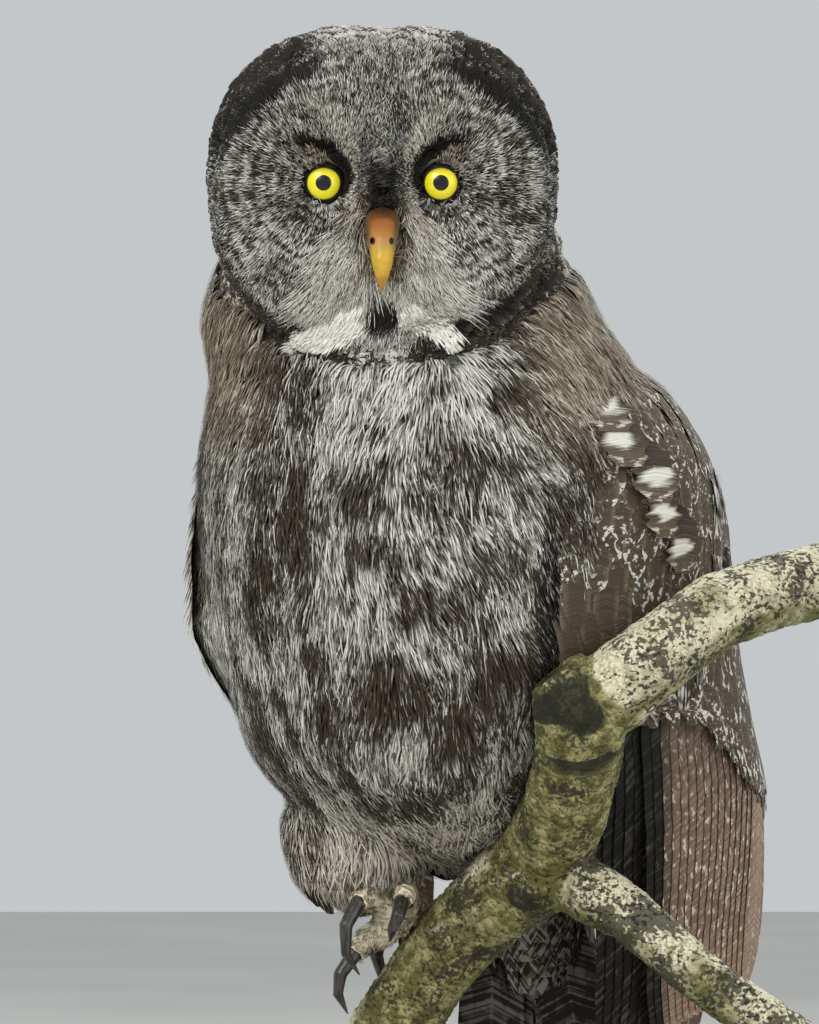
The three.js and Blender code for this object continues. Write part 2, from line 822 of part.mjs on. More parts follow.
function rodSolid({ x, y, top }, branch) {
  const foot = BASE_THICKNESS + GAP;
  const profile = [
    [0, foot],
    [COLLAR_RADIUS, foot],
    [COLLAR_RADIUS, foot + COLLAR_HEIGHT - 2],
    [COLLAR_RADIUS - 2, foot + COLLAR_HEIGHT],
    [ROD_RADIUS, foot + COLLAR_HEIGHT],
    [ROD_RADIUS, top],
    [0, top],
  ].map(([radius, height]) => new THREE.Vector2(radius, height));
  const rod = new THREE.LatheGeometry(profile, 16);
  rod.rotateX(PI / 2);
  rod.translate(x, y, 0);
  return cut(solidOfGeometry(rod), branch);
}

// Flesh and plumage
const torso = bodyLoft(TORSO_RINGS, 17);
const neck = bodyLoft(NECK_RINGS, 9);
const head = headShape();
const upperBill = billShape(UPPER_BILL);
const lowerBill = billShape(LOWER_BILL);
const legs = { left: legShape(LEFT_LEG), right: legShape(RIGHT_LEG) };
const tailRoot = tailRootShape();
const lowerLimb = branchShape(LOWER_LIMB, 0.4);
const upright = branchShape(UPRIGHT, 1.9);
const upperLimb = branchShape(UPPER_LIMB, 3.1);
const sideBranch = branchShape(SIDE_BRANCH, 5.2);
const wood = [lowerLimb, upright, upperLimb, sideBranch].map((piece) => solid(grown(piece)));
const torsoClear = solid(grown(torso));
const neckClear = joined([
  solid(grown(neck)),
  solid(grown(bodyLoft([NECK_RINGS[4], NECK_RINGS[5], [TORSO_TOP - 12, ...TORSO_RINGS[0].slice(1)]], 8))),
]);
const headClear = solid(grown(head));

add(
  "head",
  cut(
    joined([solid(head), lidSolid(-1), lidSolid(1)]),
    eyeSolid(-1, GAP),
    eyeSolid(1, GAP),
    solid(grown(upperBill)),
    solid(grown(lowerBill)),
  ),
  facePlumage,
);
add("eye_right", eyeSolid(-1), yellowIris);
add("eye_left", eyeSolid(1), yellowIris);
add("bill_upper", cut(solid(upperBill), nostril(-1), nostril(1)), billHorn);
add("bill_lower", cut(solid(lowerBill), solid(grown(upperBill))), billHorn);
add("neck", cut(solid(neck), headClear), greyPlumage);
add("torso", cut(solid(torso), ...wood), greyPlumage);
add("wing_left", wingSolid(LEFT_WING, [torsoClear, neckClear, headClear, ...wood]), wingPlumage);
add("wing_right", wingSolid(RIGHT_WING, [torsoClear, neckClear, headClear, ...wood]), wingPlumage);
add("tail", tailSolid([torsoClear]), tailPlumage);
add("leg_right", cut(solid(legs.right), torsoClear, solid(grown(tailRoot)), ...wood), greyPlumage);
add("leg_left", cut(solid(legs.left), torsoClear, solid(grown(tailRoot)), ...wood), greyPlumage);

[
  ["right", RIGHT_FOOT],
  ["left", LEFT_FOOT],
].forEach(([name, foot]) => {
  const claws = foot.claws.map((unused, k) => clawShape(foot, k));
  const clawsClear = claws.map((claw) => solid(grown(claw)));
  const legClear = solid(grown(legs[name]));
  add(`foot_${name}`, cut(footSolid(foot), legClear, torsoClear, ...clawsClear, ...wood), furryToes);
  claws.forEach((claw, k) => {
    add(`claw_${name}_${k + 1}`, cut(solid(claw), torsoClear, legClear, ...wood), blackHorn);
  });
});

// Branch and stand
add("perch_lower_limb", solid(lowerLimb), mossyBark);
add("perch_upright", cut(solid(upright), wood[0]), mossyBark);
add("perch_upper_limb", cut(solid(upperLimb), wood[1]), paleBark);
add("perch_side_branch", cut(solid(sideBranch), wood[0], wood[1]), paleBark);
add("stand_base", baseSolid(), baseWood);
add(RODS[0].name, rodSolid(RODS[0], wood[0]), darkMetal);
add(RODS[1].name, rodSolid(RODS[1], wood[3]), darkMetal);

export default owl;
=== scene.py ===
"""Dresses a great grey owl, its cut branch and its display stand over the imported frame."""

import bpy
import numpy as np
from bpy.props import FloatProperty, FloatVectorProperty, IntProperty, PointerProperty
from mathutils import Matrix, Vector
from mathutils.bvhtree import BVHTree


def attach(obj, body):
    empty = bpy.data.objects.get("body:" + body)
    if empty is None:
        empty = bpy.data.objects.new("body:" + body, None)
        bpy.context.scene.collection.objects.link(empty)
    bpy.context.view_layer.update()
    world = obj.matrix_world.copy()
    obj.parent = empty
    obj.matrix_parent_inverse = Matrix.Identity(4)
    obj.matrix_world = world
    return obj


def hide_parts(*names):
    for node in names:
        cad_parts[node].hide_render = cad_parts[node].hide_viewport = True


bl_info = {
    "name": "Great Grey Owl",
    "version": (1, 0, 0),
    "blender": (4, 5, 0),
    "location": "View3D > Sidebar > Owl",
    "description": "A life-size great grey owl on a cut branch and a display stand",
    "category": "Object",
}

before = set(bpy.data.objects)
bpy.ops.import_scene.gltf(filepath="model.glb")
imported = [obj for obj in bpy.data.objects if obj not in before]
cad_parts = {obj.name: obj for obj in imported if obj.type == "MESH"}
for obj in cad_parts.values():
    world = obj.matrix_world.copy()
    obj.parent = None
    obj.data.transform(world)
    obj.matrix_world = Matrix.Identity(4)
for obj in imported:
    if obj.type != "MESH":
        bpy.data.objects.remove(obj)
bpy.ops.object.select_all(action="DESELECT")
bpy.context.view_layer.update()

MM = 0.001
BODY_TURN = np.radians(26)
BODY_X = -32 * MM
HEAD = np.array([-68.7, -47, 606]) * MM
EYE_ASIDE = 29 * MM
EYE_UP = -3 * MM
EYE_AHEAD = 45.5 * MM
EYE_RADIUS = 12 * MM
LID_RADIUS = 9.1 * MM
LID_THICKNESS = 0.8 * MM
DISC_HALF_WIDTH = 81 * MM
DISC_HALF_HEIGHT = 71 * MM
DISC_DROP = 12 * MM
DISC_ROUNDNESS = 2.3
NOSTRIL_ASIDE = 4.6 * MM
NOSTRIL_UP = 573.5 * MM
CAMERA_AIM = (-0.05525, 0.0, 0.4405)
CAMERA_AWAY = 5.06
SENSOR_WIDTH = 36
VIEW_WIDTH = 0.512
VIEW_AHEAD = 0.04
LIGHT_AIM = (-0.05, 0, 0.4)
FULL_TURN = 6.283
WING_SHEET_TOP = 540
COVERT_TOP = 516
COVERT_STEP = 7.5
RING_STEP = 6.4 * MM
BAKE_PATCH = 0.0015
WIDE_VANE = (-1, -0.5, 0, 0.5, 1)
PRIMARY_TIPS = (116, 99, 89, 85, 94, 108, 126)
EYES = {side: HEAD + np.array([side * EYE_ASIDE, -EYE_AHEAD, EYE_UP]) for side in (-1, 1)}


def srgb(red, green, blue):
    """A screen colour, 0 to 255, as the linear colour that Blender works in"""
    share = np.array([red, green, blue]) / 255
    return tuple(np.where(share < 0.04045, share / 12.92, ((share + 0.055) / 1.055) ** 2.4))


class OwlLooks(bpy.types.PropertyGroup):
    """Sizes and colours of the bird"""

    iris_width: FloatProperty(
        name="Iris width", description="Across one iris", default=17 * MM, unit="LENGTH"
    )
    pupil_width: FloatProperty(
        name="Pupil width", description="Across one pupil", default=7.8 * MM, unit="LENGTH"
    )
    body_coat: FloatProperty(
        name="Body coat", description="Depth of the body's coat", default=9 * MM, unit="LENGTH"
    )
    face_coat: FloatProperty(
        name="Face coat", description="Depth of the face's coat", default=3 * MM, unit="LENGTH"
    )
    tuft_spacing: FloatProperty(
        name="Tuft spacing", description="Between tufts on the breast", default=5.2 * MM, unit="LENGTH"
    )
    seed: IntProperty(name="Seed", description="Start of every random draw", default=7)
    iris_colour: FloatVectorProperty(
        name="Iris", description="Colour of the iris", subtype="COLOR", default=srgb(255, 240, 40)
    )
    white_plume: FloatVectorProperty(
        name="White plume", description="Palest plumage", subtype="COLOR", default=srgb(236, 234, 224)
    )
    grey_plume: FloatVectorProperty(
        name="Grey plume", description="Pale grey plumage", subtype="COLOR", default=srgb(196, 193, 184)
    )
    buff_plume: FloatVectorProperty(
        name="Buff plume", description="Warm pale plumage", subtype="COLOR", default=srgb(190, 170, 142)
    )
    brown_plume: FloatVectorProperty(
        name="Brown plume", description="Dark brown plumage", subtype="COLOR", default=srgb(60, 49, 36)
    )
    black_plume: FloatVectorProperty(
        name="Black plume", description="Darkest plumage", subtype="COLOR", default=srgb(22, 19, 13)
    )


class PerchLooks(bpy.types.PropertyGroup):
    """Sizes and colours of the branch and the stand"""

    bark_grain: FloatProperty(
        name="Bark grain", description="Height of the bark's ridges", default=0.9 * MM, unit="LENGTH"
    )
    pale_bark: FloatVectorProperty(
        name="Pale bark", description="Smooth cream bark", subtype="COLOR", default=srgb(206, 198, 164)
    )
    mossy_bark: FloatVectorProperty(
        name="Mossy bark", description="Green film on the bark", subtype="COLOR", default=srgb(98, 96, 44)
    )
    dark_bark: FloatVectorProperty(
        name="Dark bark", description="Lenticels and knots", subtype="COLOR", default=srgb(30, 27, 15)
    )
    base_wood: FloatVectorProperty(
        name="Base wood", description="Stained wood of the base", subtype="COLOR", default=srgb(92, 66, 44)
    )


def looks():
    """The bird's sizes and colours"""
    return bpy.context.scene.owl_looks


def perch_looks():
    """The branch's sizes and colours"""
    return bpy.context.scene.perch_looks


# Shape helpers


def on_body(left, forward, up):
    """Places in the model's frame from the turned body's own left, forward and up"""
    left, forward, up = np.broadcast_arrays(left, forward, up)
    x = BODY_X + np.cos(BODY_TURN) * left - np.sin(BODY_TURN) * forward
    y = -np.sin(BODY_TURN) * left - np.cos(BODY_TURN) * forward
    return np.stack([x, y, up], axis=-1)


def unit(vectors):
    """Vectors made one long"""
    return vectors / np.maximum(np.linalg.norm(vectors, axis=-1, keepdims=True), 1e-9)


def blend_in(value, start, end):
    """0 before start and 1 after end, smooth between"""
    share = np.clip((value - start) / (end - start), 0, 1)
    return share * share * (3 - 2 * share)


def mottle(points, cell, seed):
    """Smooth random values from 0 to 1, with patches about the size of a cell"""
    grid = points / np.asarray(cell)
    low = np.floor(grid).astype(np.int64)
    part = grid - low
    part = part * part * (3 - 2 * part)
    total = np.zeros(len(points))
    for corner in range(8):
        step = np.array([corner & 1, corner >> 1 & 1, corner >> 2 & 1])
        at = low + step
        mixed = (at[:, 0] * 73856093) ^ (at[:, 1] * 19349663) ^ (at[:, 2] * 83492791) ^ (seed * 6542989)
        mixed = (mixed ^ (mixed >> 13)) * 1274126177
        value = ((mixed ^ (mixed >> 16)) & 0xFFFF) / 65535
        total += value * np.prod(np.where(step, part, 1 - part), axis=1)
    return total


def between(rows, up):
    """A row at each asked height, smoothly between the table's rows, which run downwards"""
    rows = np.asarray(rows, float)
    up = np.asarray(up, float)
    last = len(rows) - 1
    i = np.clip(np.searchsorted(-rows[:, 0], -up), 1, last)
    a, b = rows[i - 1], rows[i]
    before, after = rows[np.maximum(i - 2, 0)], rows[np.minimum(i + 1, last)]
    t = ((a[..., 0] - up) / (a[..., 0] - b[..., 0]))[..., None]
    bend, leave, rise = (b - before) / 2, (after - a) / 2, b - a
    row = a + t * bend + t**2 * (3 * rise - 2 * bend - leave) + t**3 * (bend + leave - 2 * rise)
    row[..., 0] = up
    return row


def make_mesh(name, points, triangles):
    """A new object of a list of points and triangles, linked and smooth"""
    mesh = bpy.data.meshes.new(name)
    mesh.vertices.add(len(points))
    mesh.vertices.foreach_set("co", np.ascontiguousarray(points, np.float32).ravel())
    mesh.loops.add(3 * len(triangles))
    mesh.loops.foreach_set("vertex_index", np.ascontiguousarray(triangles, np.int32).ravel())
    mesh.polygons.add(len(triangles))
    mesh.polygons.foreach_set("loop_start", np.arange(len(triangles), dtype=np.int32) * 3)
    mesh.update(calc_edges=True)
    mesh.shade_smooth()
    piece = bpy.data.objects.new(name, mesh)
    bpy.context.collection.objects.link(piece)
    return piece


def only(*pieces):
    """Selects these pieces alone, with the first one active"""
    bpy.ops.object.select_all(action="DESELECT")
    for piece in pieces:
        piece.select_set(True)
    bpy.context.view_layer.objects.active = pieces[0]


def apply_all(piece):
    """Applies every modifier on a piece, in order"""
    only(piece)
    for name in [modifier.name for modifier in piece.modifiers]:
        bpy.ops.object.modifier_apply(modifier=name)


def merged_copy(*nodes, name):
    """One mesh of copies of CAD nodes, with their loose triangles merged"""
    copies = []
    for node in nodes:
        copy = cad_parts[node].copy()
        copy.data = copy.data.copy()
        copy.parent = None
        for key in list(copy.keys()):
            del copy[key]
        copy.data.materials.clear()
        bpy.context.collection.objects.link(copy)
        copy.hide_render = False
        copies.append(copy)
    only(*copies)
    bpy.ops.object.join()
    piece = bpy.context.view_layer.objects.active
    bpy.ops.object.mode_set(mode="EDIT")
    bpy.ops.mesh.select_all(action="SELECT")
    bpy.ops.mesh.remove_doubles(threshold=1e-5)
    bpy.ops.object.mode_set(mode="OBJECT")
    piece.name = name
    piece.data.name = name
    return piece


def remeshed(piece, voxel, smooth):
    """The piece as one even skin of small faces"""
    remesh = piece.modifiers.new("Even skin", "REMESH")
    remesh.mode = "VOXEL"
    remesh.voxel_size = voxel
    if smooth:
        relax = piece.modifiers.new("Relax", "SMOOTH")
        relax.factor = 0.5
        relax.iterations = smooth
    apply_all(piece)
    bpy.ops.object.shade_smooth()
    return piece


def points_of(piece):
    """A piece's points and their normals as arrays"""
    mesh = piece.data
    places = np.empty(3 * len(mesh.vertices), np.float32)
    outs = np.empty_like(places)
    mesh.vertices.foreach_get("co", places)
    mesh.vertices.foreach_get("normal", outs)
    return places.reshape(-1, 3).astype(float), outs.reshape(-1, 3).astype(float)


def move_points(piece, places):
    """Gives a piece's points new places"""
    piece.data.vertices.foreach_set("co", np.ascontiguousarray(places, np.float32).ravel())
    piece.data.update()


def paint(piece, **values):
    """Stores values of the points: colours where they have three numbers, and plain numbers otherwise"""
    for name, value in values.items():
        value = np.asarray(value, np.float32)
        if value.ndim == 2:
            layer = piece.data.attributes.new(name, "FLOAT_COLOR", "POINT")
            full = np.ones((len(value), 4), np.float32)
            full[:, :3] = value
            layer.data.foreach_set("color", full.ravel())
        else:
            layer = piece.data.attributes.new(name, "FLOAT", "POINT")
            layer.data.foreach_set("value", value)


def store_uv(piece, name, places):
    """A UV map from one place for each point"""
    layer = piece.data.uv_layers.new(name=name)
    corners = np.empty(len(piece.data.loops), np.int32)
    piece.data.loops.foreach_get("vertex_index", corners)
    layer.data.foreach_set("uv", np.ascontiguousarray(places[corners], np.float32).ravel())


def finish_piece(piece, material, slot, *nodes):
    """Gives a finished piece its material and its body, and hides the CAD nodes that it stands for; the slot
    is not used
    """
    piece.data.materials.clear()
    piece.data.materials.append(material)
    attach(piece, "root")
    if nodes:
        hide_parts(*nodes)
    bpy.ops.object.select_all(action="DESELECT")
    return piece


# Shader effects


class Tree:
    """Shorthand for building a node tree"""

    def __init__(self, tree):
        self.tree = tree

    def node(self, kind, inputs=(), **settings):
        """A node with its settings and inputs, where an input is a value or another node's socket"""
        made = self.tree.nodes.new(kind)
        for name, value in settings.items():
            setattr(made, name, value)
        for key, value in dict(inputs).items():
            if isinstance(value, bpy.types.NodeSocket):
                self.tree.links.new(value, made.inputs[key])
            else:
                made.inputs[key].default_value = value
        return made

    def math(self, operation, *values):
        """A sum on numbers"""
        made = self.node("ShaderNodeMath", dict(enumerate(values)), operation=operation)
        return made.outputs[0]

    def vector(self, operation, *values):
        """A sum on vectors"""
        made = self.node("ShaderNodeVectorMath", dict(enumerate(values)), operation=operation)
        return made.outputs[1 if operation in ("LENGTH", "DISTANCE", "DOT_PRODUCT") else 0]

    def times(self, first, second):
        """A product"""
        return self.math("MULTIPLY", first, second)

    def plus(self, first, second):
        """A sum"""
        return self.math("ADD", first, second)

    def minus(self, first, second):
        """A difference"""
        return self.math("SUBTRACT", first, second)

    def place(self):
        """The place on the piece itself"""
        return self.node("ShaderNodeTexCoord").outputs["Object"]

    def parts(self, vector):
        """A vector's three numbers"""
        return self.node("ShaderNodeSeparateXYZ", {"Vector": vector}).outputs

    def joined(self, **parts):
        """A vector of up to three numbers"""
        return self.node("ShaderNodeCombineXYZ", parts).outputs[0]

    def bump(self, height, strength, distance):
        """A normal that leans with a height"""
        given = {"Height": height, "Strength": strength, "Distance": distance}
        return self.node("ShaderNodeBump", given).outputs[0]

    def ramp(self, value, start, end, low=0.0, high=1.0):
        """A smooth step of a number from start to end"""
        made = self.node(
            "ShaderNodeMapRange",
            {"Value": value, "From Min": start, "From Max": end, "To Min": low, "To Max": high},
            interpolation_type="SMOOTHSTEP",
        )
        return made.outputs["Result"]

    def noise(self, vector, scale, detail=2.0):
        """Smooth noise over a vector"""
        made = self.node("ShaderNodeTexNoise", {"Vector": vector, "Scale": scale, "Detail": detail})
        return made.outputs["Fac"]

    def mix(self, share, first, second):
        """A colour between two"""
        made = self.node("ShaderNodeMix", data_type="RGBA")
        for socket, value in zip((made.inputs[0], made.inputs[6], made.inputs[7]), (share, first, second)):
            if isinstance(value, bpy.types.NodeSocket):
                self.tree.links.new(value, socket)
            elif socket is made.inputs[0]:
                socket.default_value = value
            else:
                socket.default_value = (*value[:3], 1)
        return made.outputs[2]

    def attribute(self, name, output="Fac"):
        """One of the piece's stored values"""
        return self.node("ShaderNodeAttribute", attribute_name=name).outputs[output]

    def group(self, tree, inputs):
        """A shared effect"""
        return self.node("ShaderNodeGroup", inputs, node_tree=tree)


def effect(name, inputs, outputs, build):
    """A shared shader effect, built once"""
    if name in bpy.data.node_groups:
        return bpy.data.node_groups[name]
    tree = bpy.data.node_groups.new(name, "ShaderNodeTree")
    kinds = {"number": "NodeSocketFloat", "vector": "NodeSocketVector", "colour": "NodeSocketColor"}
    for socket, kind in inputs.items():
        tree.interface.new_socket(socket, in_out="INPUT", socket_type=kinds[kind])
    for socket, kind in outputs.items():
        tree.interface.new_socket(socket, in_out="OUTPUT", socket_type=kinds[kind])
    kit = Tree(tree)
    given = kit.node("NodeGroupInput").outputs
    results = build(kit, given)
    end = kit.node("NodeGroupOutput")
    for socket, value in results.items():
        tree.links.new(value, end.inputs[socket])
    return tree


def strands_effect(name, strand_place):
    """Fine strands of one kind, where strand_place says how they run over a feather"""

    def build(kit, given):
        parts = kit.parts(given["Vane"])
        chance = kit.times(given["Seed"], 37.0)
        strand = kit.noise(strand_place(kit, parts, given["Barbs"], chance), 1.0, 1.0)
        return {"Strand": kit.ramp(strand, 0.3, 0.7)}

    inputs = {"Vane": "vector", "Seed": "number", "Barbs": "number"}
    return effect(name, inputs, {"Strand": "number"}, build)


def barb_place(kit, parts, barbs, chance):
    """Barbs that run out from the shaft and slant to the tip"""
    aside = kit.math("ABSOLUTE", kit.minus(parts[0], 0.5))
    return kit.joined(X=kit.minus(kit.times(parts[1], barbs), kit.times(aside, 9.0)), Y=chance)


def hair_place(kit, parts, hairs, chance):
    """Hairs side by side along a lock"""
    return kit.joined(X=kit.times(parts[0], hairs), Y=kit.times(parts[1], 1.3), Z=chance)


def bars_effect():
    """Uneven bars across a feather"""

    def build(kit, given):
        parts = kit.parts(given["Vane"])
        shifted = kit.times(given["Seed"], 11.0)
        wobble = kit.noise(kit.joined(X=parts[0], Y=parts[1], Z=shifted), 4.0, 2.0)
        turns = kit.plus(kit.times(parts[1], given["Count"]), kit.times(wobble, 2.2))
        wave = kit.math("SINE", kit.times(kit.plus(turns, given["Seed"]), FULL_TURN))
        return {"Bars": kit.ramp(wave, -0.5, 0.5)}

    return effect("Bars", {"Vane": "vector", "Seed": "number", "Count": "number"}, {"Bars": "number"}, build)


def flecks_effect():
    """Small pale flecks, stretched along the barbs"""

    def build(kit, given):
        shifted = kit.times(given["Seed"], 23.0)
        place = kit.vector("MULTIPLY", given["Vane"], given["Spread"])
        place = kit.vector("ADD", place, kit.joined(Z=shifted))
        speck = kit.noise(place, 1.0, 3.0)
        parts = kit.parts(given["Vane"])
        aside = kit.math("ABSOLUTE", kit.minus(parts[0], 0.5))
        level = kit.plus(kit.plus(parts[1], kit.times(aside, 0.5)), kit.times(speck, 0.3))
        band = kit.math("ABSOLUTE", kit.minus(level, 1.13))
        chevron = kit.times(kit.ramp(band, 0.02, 0.05, 0.7, 0.0), kit.ramp(aside, 0.08, 0.16))
        return {"Flecks": kit.plus(speck, kit.times(chevron, given["Chevron"]))}

    inputs = {"Vane": "vector", "Seed": "number", "Spread": "vector", "Chevron": "number"}
    return effect("Flecks", inputs, {"Flecks": "number"}, build)


def rings_effect():
    """Fine bars in rings round the two eyes"""

    def build(kit, given):
        left = kit.vector("DISTANCE", given["Place"], tuple(EYES[-1]))
        right = kit.vector("DISTANCE", given["Place"], tuple(EYES[1]))
        away = kit.math("MINIMUM", left, right)
        wobble = kit.noise(given["Place"], 60.0, 3.0)
        turns = kit.plus(kit.math("DIVIDE", away, given["Step"]), kit.times(wobble, 2.4))
        wave = kit.math("SINE", kit.times(turns, FULL_TURN))
        broken = kit.ramp(kit.noise(given["Place"], 70.0, 2.0), 0.35, 0.6, 0.25, 1.0)
        centred = kit.minus(kit.ramp(wave, -1.0, 1.0), 0.5)
        return {"Rings": kit.times(centred, broken)}

    return effect("Rings", {"Place": "vector", "Step": "number"}, {"Rings": "number"}, build)


def new_material(name):
    """An empty material with its shader and a kit to build its nodes"""
    material = bpy.data.materials.new(name)
    material.use_nodes = True
    kit = Tree(material.node_tree)
    shader = material.node_tree.nodes["Principled BSDF"]
    return material, kit, shader


def set_shader(kit, shader, **inputs):
    """Sets or links the shader's sockets"""
    for key, value in inputs.items():
        socket = shader.inputs[key.replace("_", " ")]
        if isinstance(value, bpy.types.NodeSocket):
            kit.tree.links.new(value, socket)
        else:
            socket.default_value = value


def plumage(
    name,
    barbs=26.0,
    bars=0.0,
    bar_count=5.0,
    flecks=0.0,
    spread=(9, 30, 1),
    shaft=0.0,
    rings=0.0,
    hairs=0.0,
    depth=0.9,
    chevron=0.0,
):
    """Plumage that lies between each point's pale and dark colours, with the shader's own fine marks and
    painted shade towards each feather's root
    """
    material, kit, shader = new_material(name)
    vane = kit.node("ShaderNodeUVMap", uv_map="Vane").outputs[0]
    parts = kit.parts(vane)
    seed = kit.attribute("seed")
    fine = strands_effect("Hairs", hair_place) if hairs else strands_effect("Barbs", barb_place)
    strand = kit.group(fine, {"Vane": vane, "Seed": seed, "Barbs": hairs or barbs}).outputs["Strand"]
    mark = kit.attribute("marking")
    mark = kit.plus(mark, kit.times(kit.minus(strand, 0.5), depth))
    if bars:
        across = kit.group(bars_effect(), {"Vane": vane, "Seed": seed, "Count": bar_count}).outputs["Bars"]
        share = kit.times(kit.attribute("barring"), bars)
        mark = kit.plus(mark, kit.times(kit.minus(across, 0.5), share))
    if rings:
        place = kit.place()
        ring = kit.group(rings_effect(), {"Place": place, "Step": rings}).outputs["Rings"]
        share = kit.attribute("barring")
        mark = kit.plus(mark, kit.times(ring, share))
    if flecks:
        given = {"Vane": vane, "Seed": seed, "Spread": spread, "Chevron": chevron}
        speck = kit.group(flecks_effect(), given).outputs["Flecks"]
        pale = kit.times(kit.ramp(speck, 0.56, 0.66), kit.attribute("fleck"))
        mark = kit.minus(mark, kit.times(pale, flecks))
    if shaft:
        aside = kit.math("ABSOLUTE", kit.minus(parts[0], 0.5))
        mark = kit.minus(mark, kit.ramp(aside, 0.012, 0.03, shaft, 0.0))
    colour = kit.mix(kit.ramp(mark, 0.0, 1.0), kit.attribute("pale", "Color"), kit.attribute("dark", "Color"))
    # Painted shade: each feather darkens towards its root, where the feathers over it shade it; the strands'
    # own tone also varies
    root_shade_and_tone = kit.ramp(parts[1], 0.0, 0.6, 0.35, 1.0)
    root_shade_and_tone = kit.times(root_shade_and_tone, kit.ramp(strand, 0.0, 1.0, 1.15, 0.8))
    colour = kit.vector("MULTIPLY", colour, kit.joined(X=root_shade_and_tone, Y=root_shade_and_tone, Z=root_shade_and_tone))
    bump = kit.bump(strand, 0.35, 0.4 * MM)
    set_shader(kit, shader, Base_Color=colour, Roughness=0.72, Normal=bump)
    shader.inputs["Specular IOR Level"].default_value = 0.3
    return material


# Feathers


class Skin:
    """The skin's surface: where feathers root, and how they lie along it"""

    def __init__(self, piece):
        self.points, self.outs = points_of(piece)
        mesh = piece.data
        mesh.calc_loop_triangles()
        corners = np.empty(3 * len(mesh.loop_triangles), np.int32)
        mesh.loop_triangles.foreach_get("vertices", corners)
        self.corners = corners.reshape(-1, 3)
        a, b, c = (self.points[self.corners[:, k]] for k in range(3))
        self.areas = np.linalg.norm(np.cross(b - a, c - a), axis=1) / 2
        self.middles = (a + b + c) / 3
        self.facing = unit(self.outs[self.corners].sum(axis=1))
        self.tree = BVHTree.FromPolygons(self.points.tolist(), self.corners.tolist())

    def scatter(self, keep, spacing, seed):
        """Random roots about a spacing apart where keep allows them, with the skin's normals"""
        rng = np.random.default_rng(seed)
        weight = self.areas * keep(self.middles, self.facing)
        count = int(weight.sum() / spacing**2 * 3)
        pick = rng.choice(len(weight), count, p=weight / weight.sum())
        first, second = rng.random((2, count, 1))
        first = np.sqrt(first)
        a, b, c = (self.points[self.corners[pick, k]] for k in range(3))
        roots = a * (1 - first) + b * first * (1 - second) + c * first * second
        cells = np.floor(roots / spacing).astype(np.int64)
        keys = (cells[:, 0] * 8192 + cells[:, 1]) * 8192 + cells[:, 2]
        chosen = np.sort(np.unique(keys, return_index=True)[1])
        return roots[chosen], self.facing[pick[chosen]]

    def lay(self, roots, outs, flow, lengths, joints):
        """Points and normals of shafts that follow the skin from their roots"""
        heading = unit(flow - outs * (flow * outs).sum(axis=1, keepdims=True))
        here = roots
        shafts, normals = [roots], [outs]
        for unused in range(joints):
            ahead = here + heading * (lengths / joints)[:, None]
            near = [self.tree.find_nearest(place) for place in ahead.tolist()]
            here = np.array([hit[0] for hit in near])
            outs = self.facing[[hit[2] for hit in near]]
            heading = unit(heading - outs * (heading * outs).sum(axis=1, keepdims=True))
            shafts.append(here)
            normals.append(outs)
        return np.stack(shafts, axis=1), np.stack(normals, axis=1)


def strip(alongs, edges, heights, columns):
    """Points (along, across, height) and triangles of one vane that ends in a point"""
    points, triangles = [], []
    wide = len(columns)
    for along, (low, high), height in zip(alongs, edges, heights):
        middle, half = (low + high) / 2, (high - low) / 2
        for column in columns:
            points.append((along, middle + half * column, height * (1 - 0.5 * abs(column))))
    rows = len(alongs)
    for row in range(rows - 1):
        for k in range(wide - 1):
            a = row * wide + k
            triangles += [(a, a + 1, a + wide), (a + 1, a + wide + 1, a + wide)]
    return points, triangles


def lock_pattern(rng, blades, width, spread):
    """A tuft of narrow blades that spread from one root, like loose barbs"""
    points, triangles = [], []
    for blade in range(blades):
        root = 0.55 * (blade + 0.5) / blades * 2 - 0.55
        start = rng.uniform(0, 0.25)
        reach = rng.uniform(0.7, 1.0)
        tip = root * (1 + spread) + rng.uniform(-0.3, 0.3)
        rise = rng.uniform(0, 1)
        first = len(points)
        for share, wide in ((0, 0.7), (0.35, 1.0), (0.7, 0.75), (1, 0.0)):
            along = start + (reach - start) * share
            middle = root + (tip - root) * share**1.4
            high = rise * np.sin(share * 2.2)
            if wide:
                points += [(along, middle - width * wide, high), (along, middle + width * wide, high)]
            else:
                points.append((along, middle, high))
        a = first
        triangles += [(a, a + 1, a + 2), (a + 1, a + 3, a + 2), (a + 2, a + 3, a + 4)]
        triangles += [(a + 3, a + 5, a + 4), (a + 4, a + 5, a + 6)]
    return np.array(points), np.array(triangles)


def vane_pattern(rng, rows, ragged, tip=0.25, columns=(-1, 0, 1)):
    """One feather with a shaft and slightly torn edges"""
    alongs = np.linspace(0, 1, rows)
    full = np.minimum(0.35 + 2.2 * alongs, 1)
    taper = np.sqrt(np.clip(1 - ((alongs - 0.62) / 0.385) ** 2, tip**2, 1))
    half = np.where(alongs < 0.62, full, full * taper)
    left = -half * (1 - ragged * rng.random(rows))
    right = half * (1 - ragged * rng.random(rows))
    points, triangles = strip(alongs, list(zip(left, right)), 0.15 * np.ones(rows), columns)
    return np.array(points), np.array(triangles)


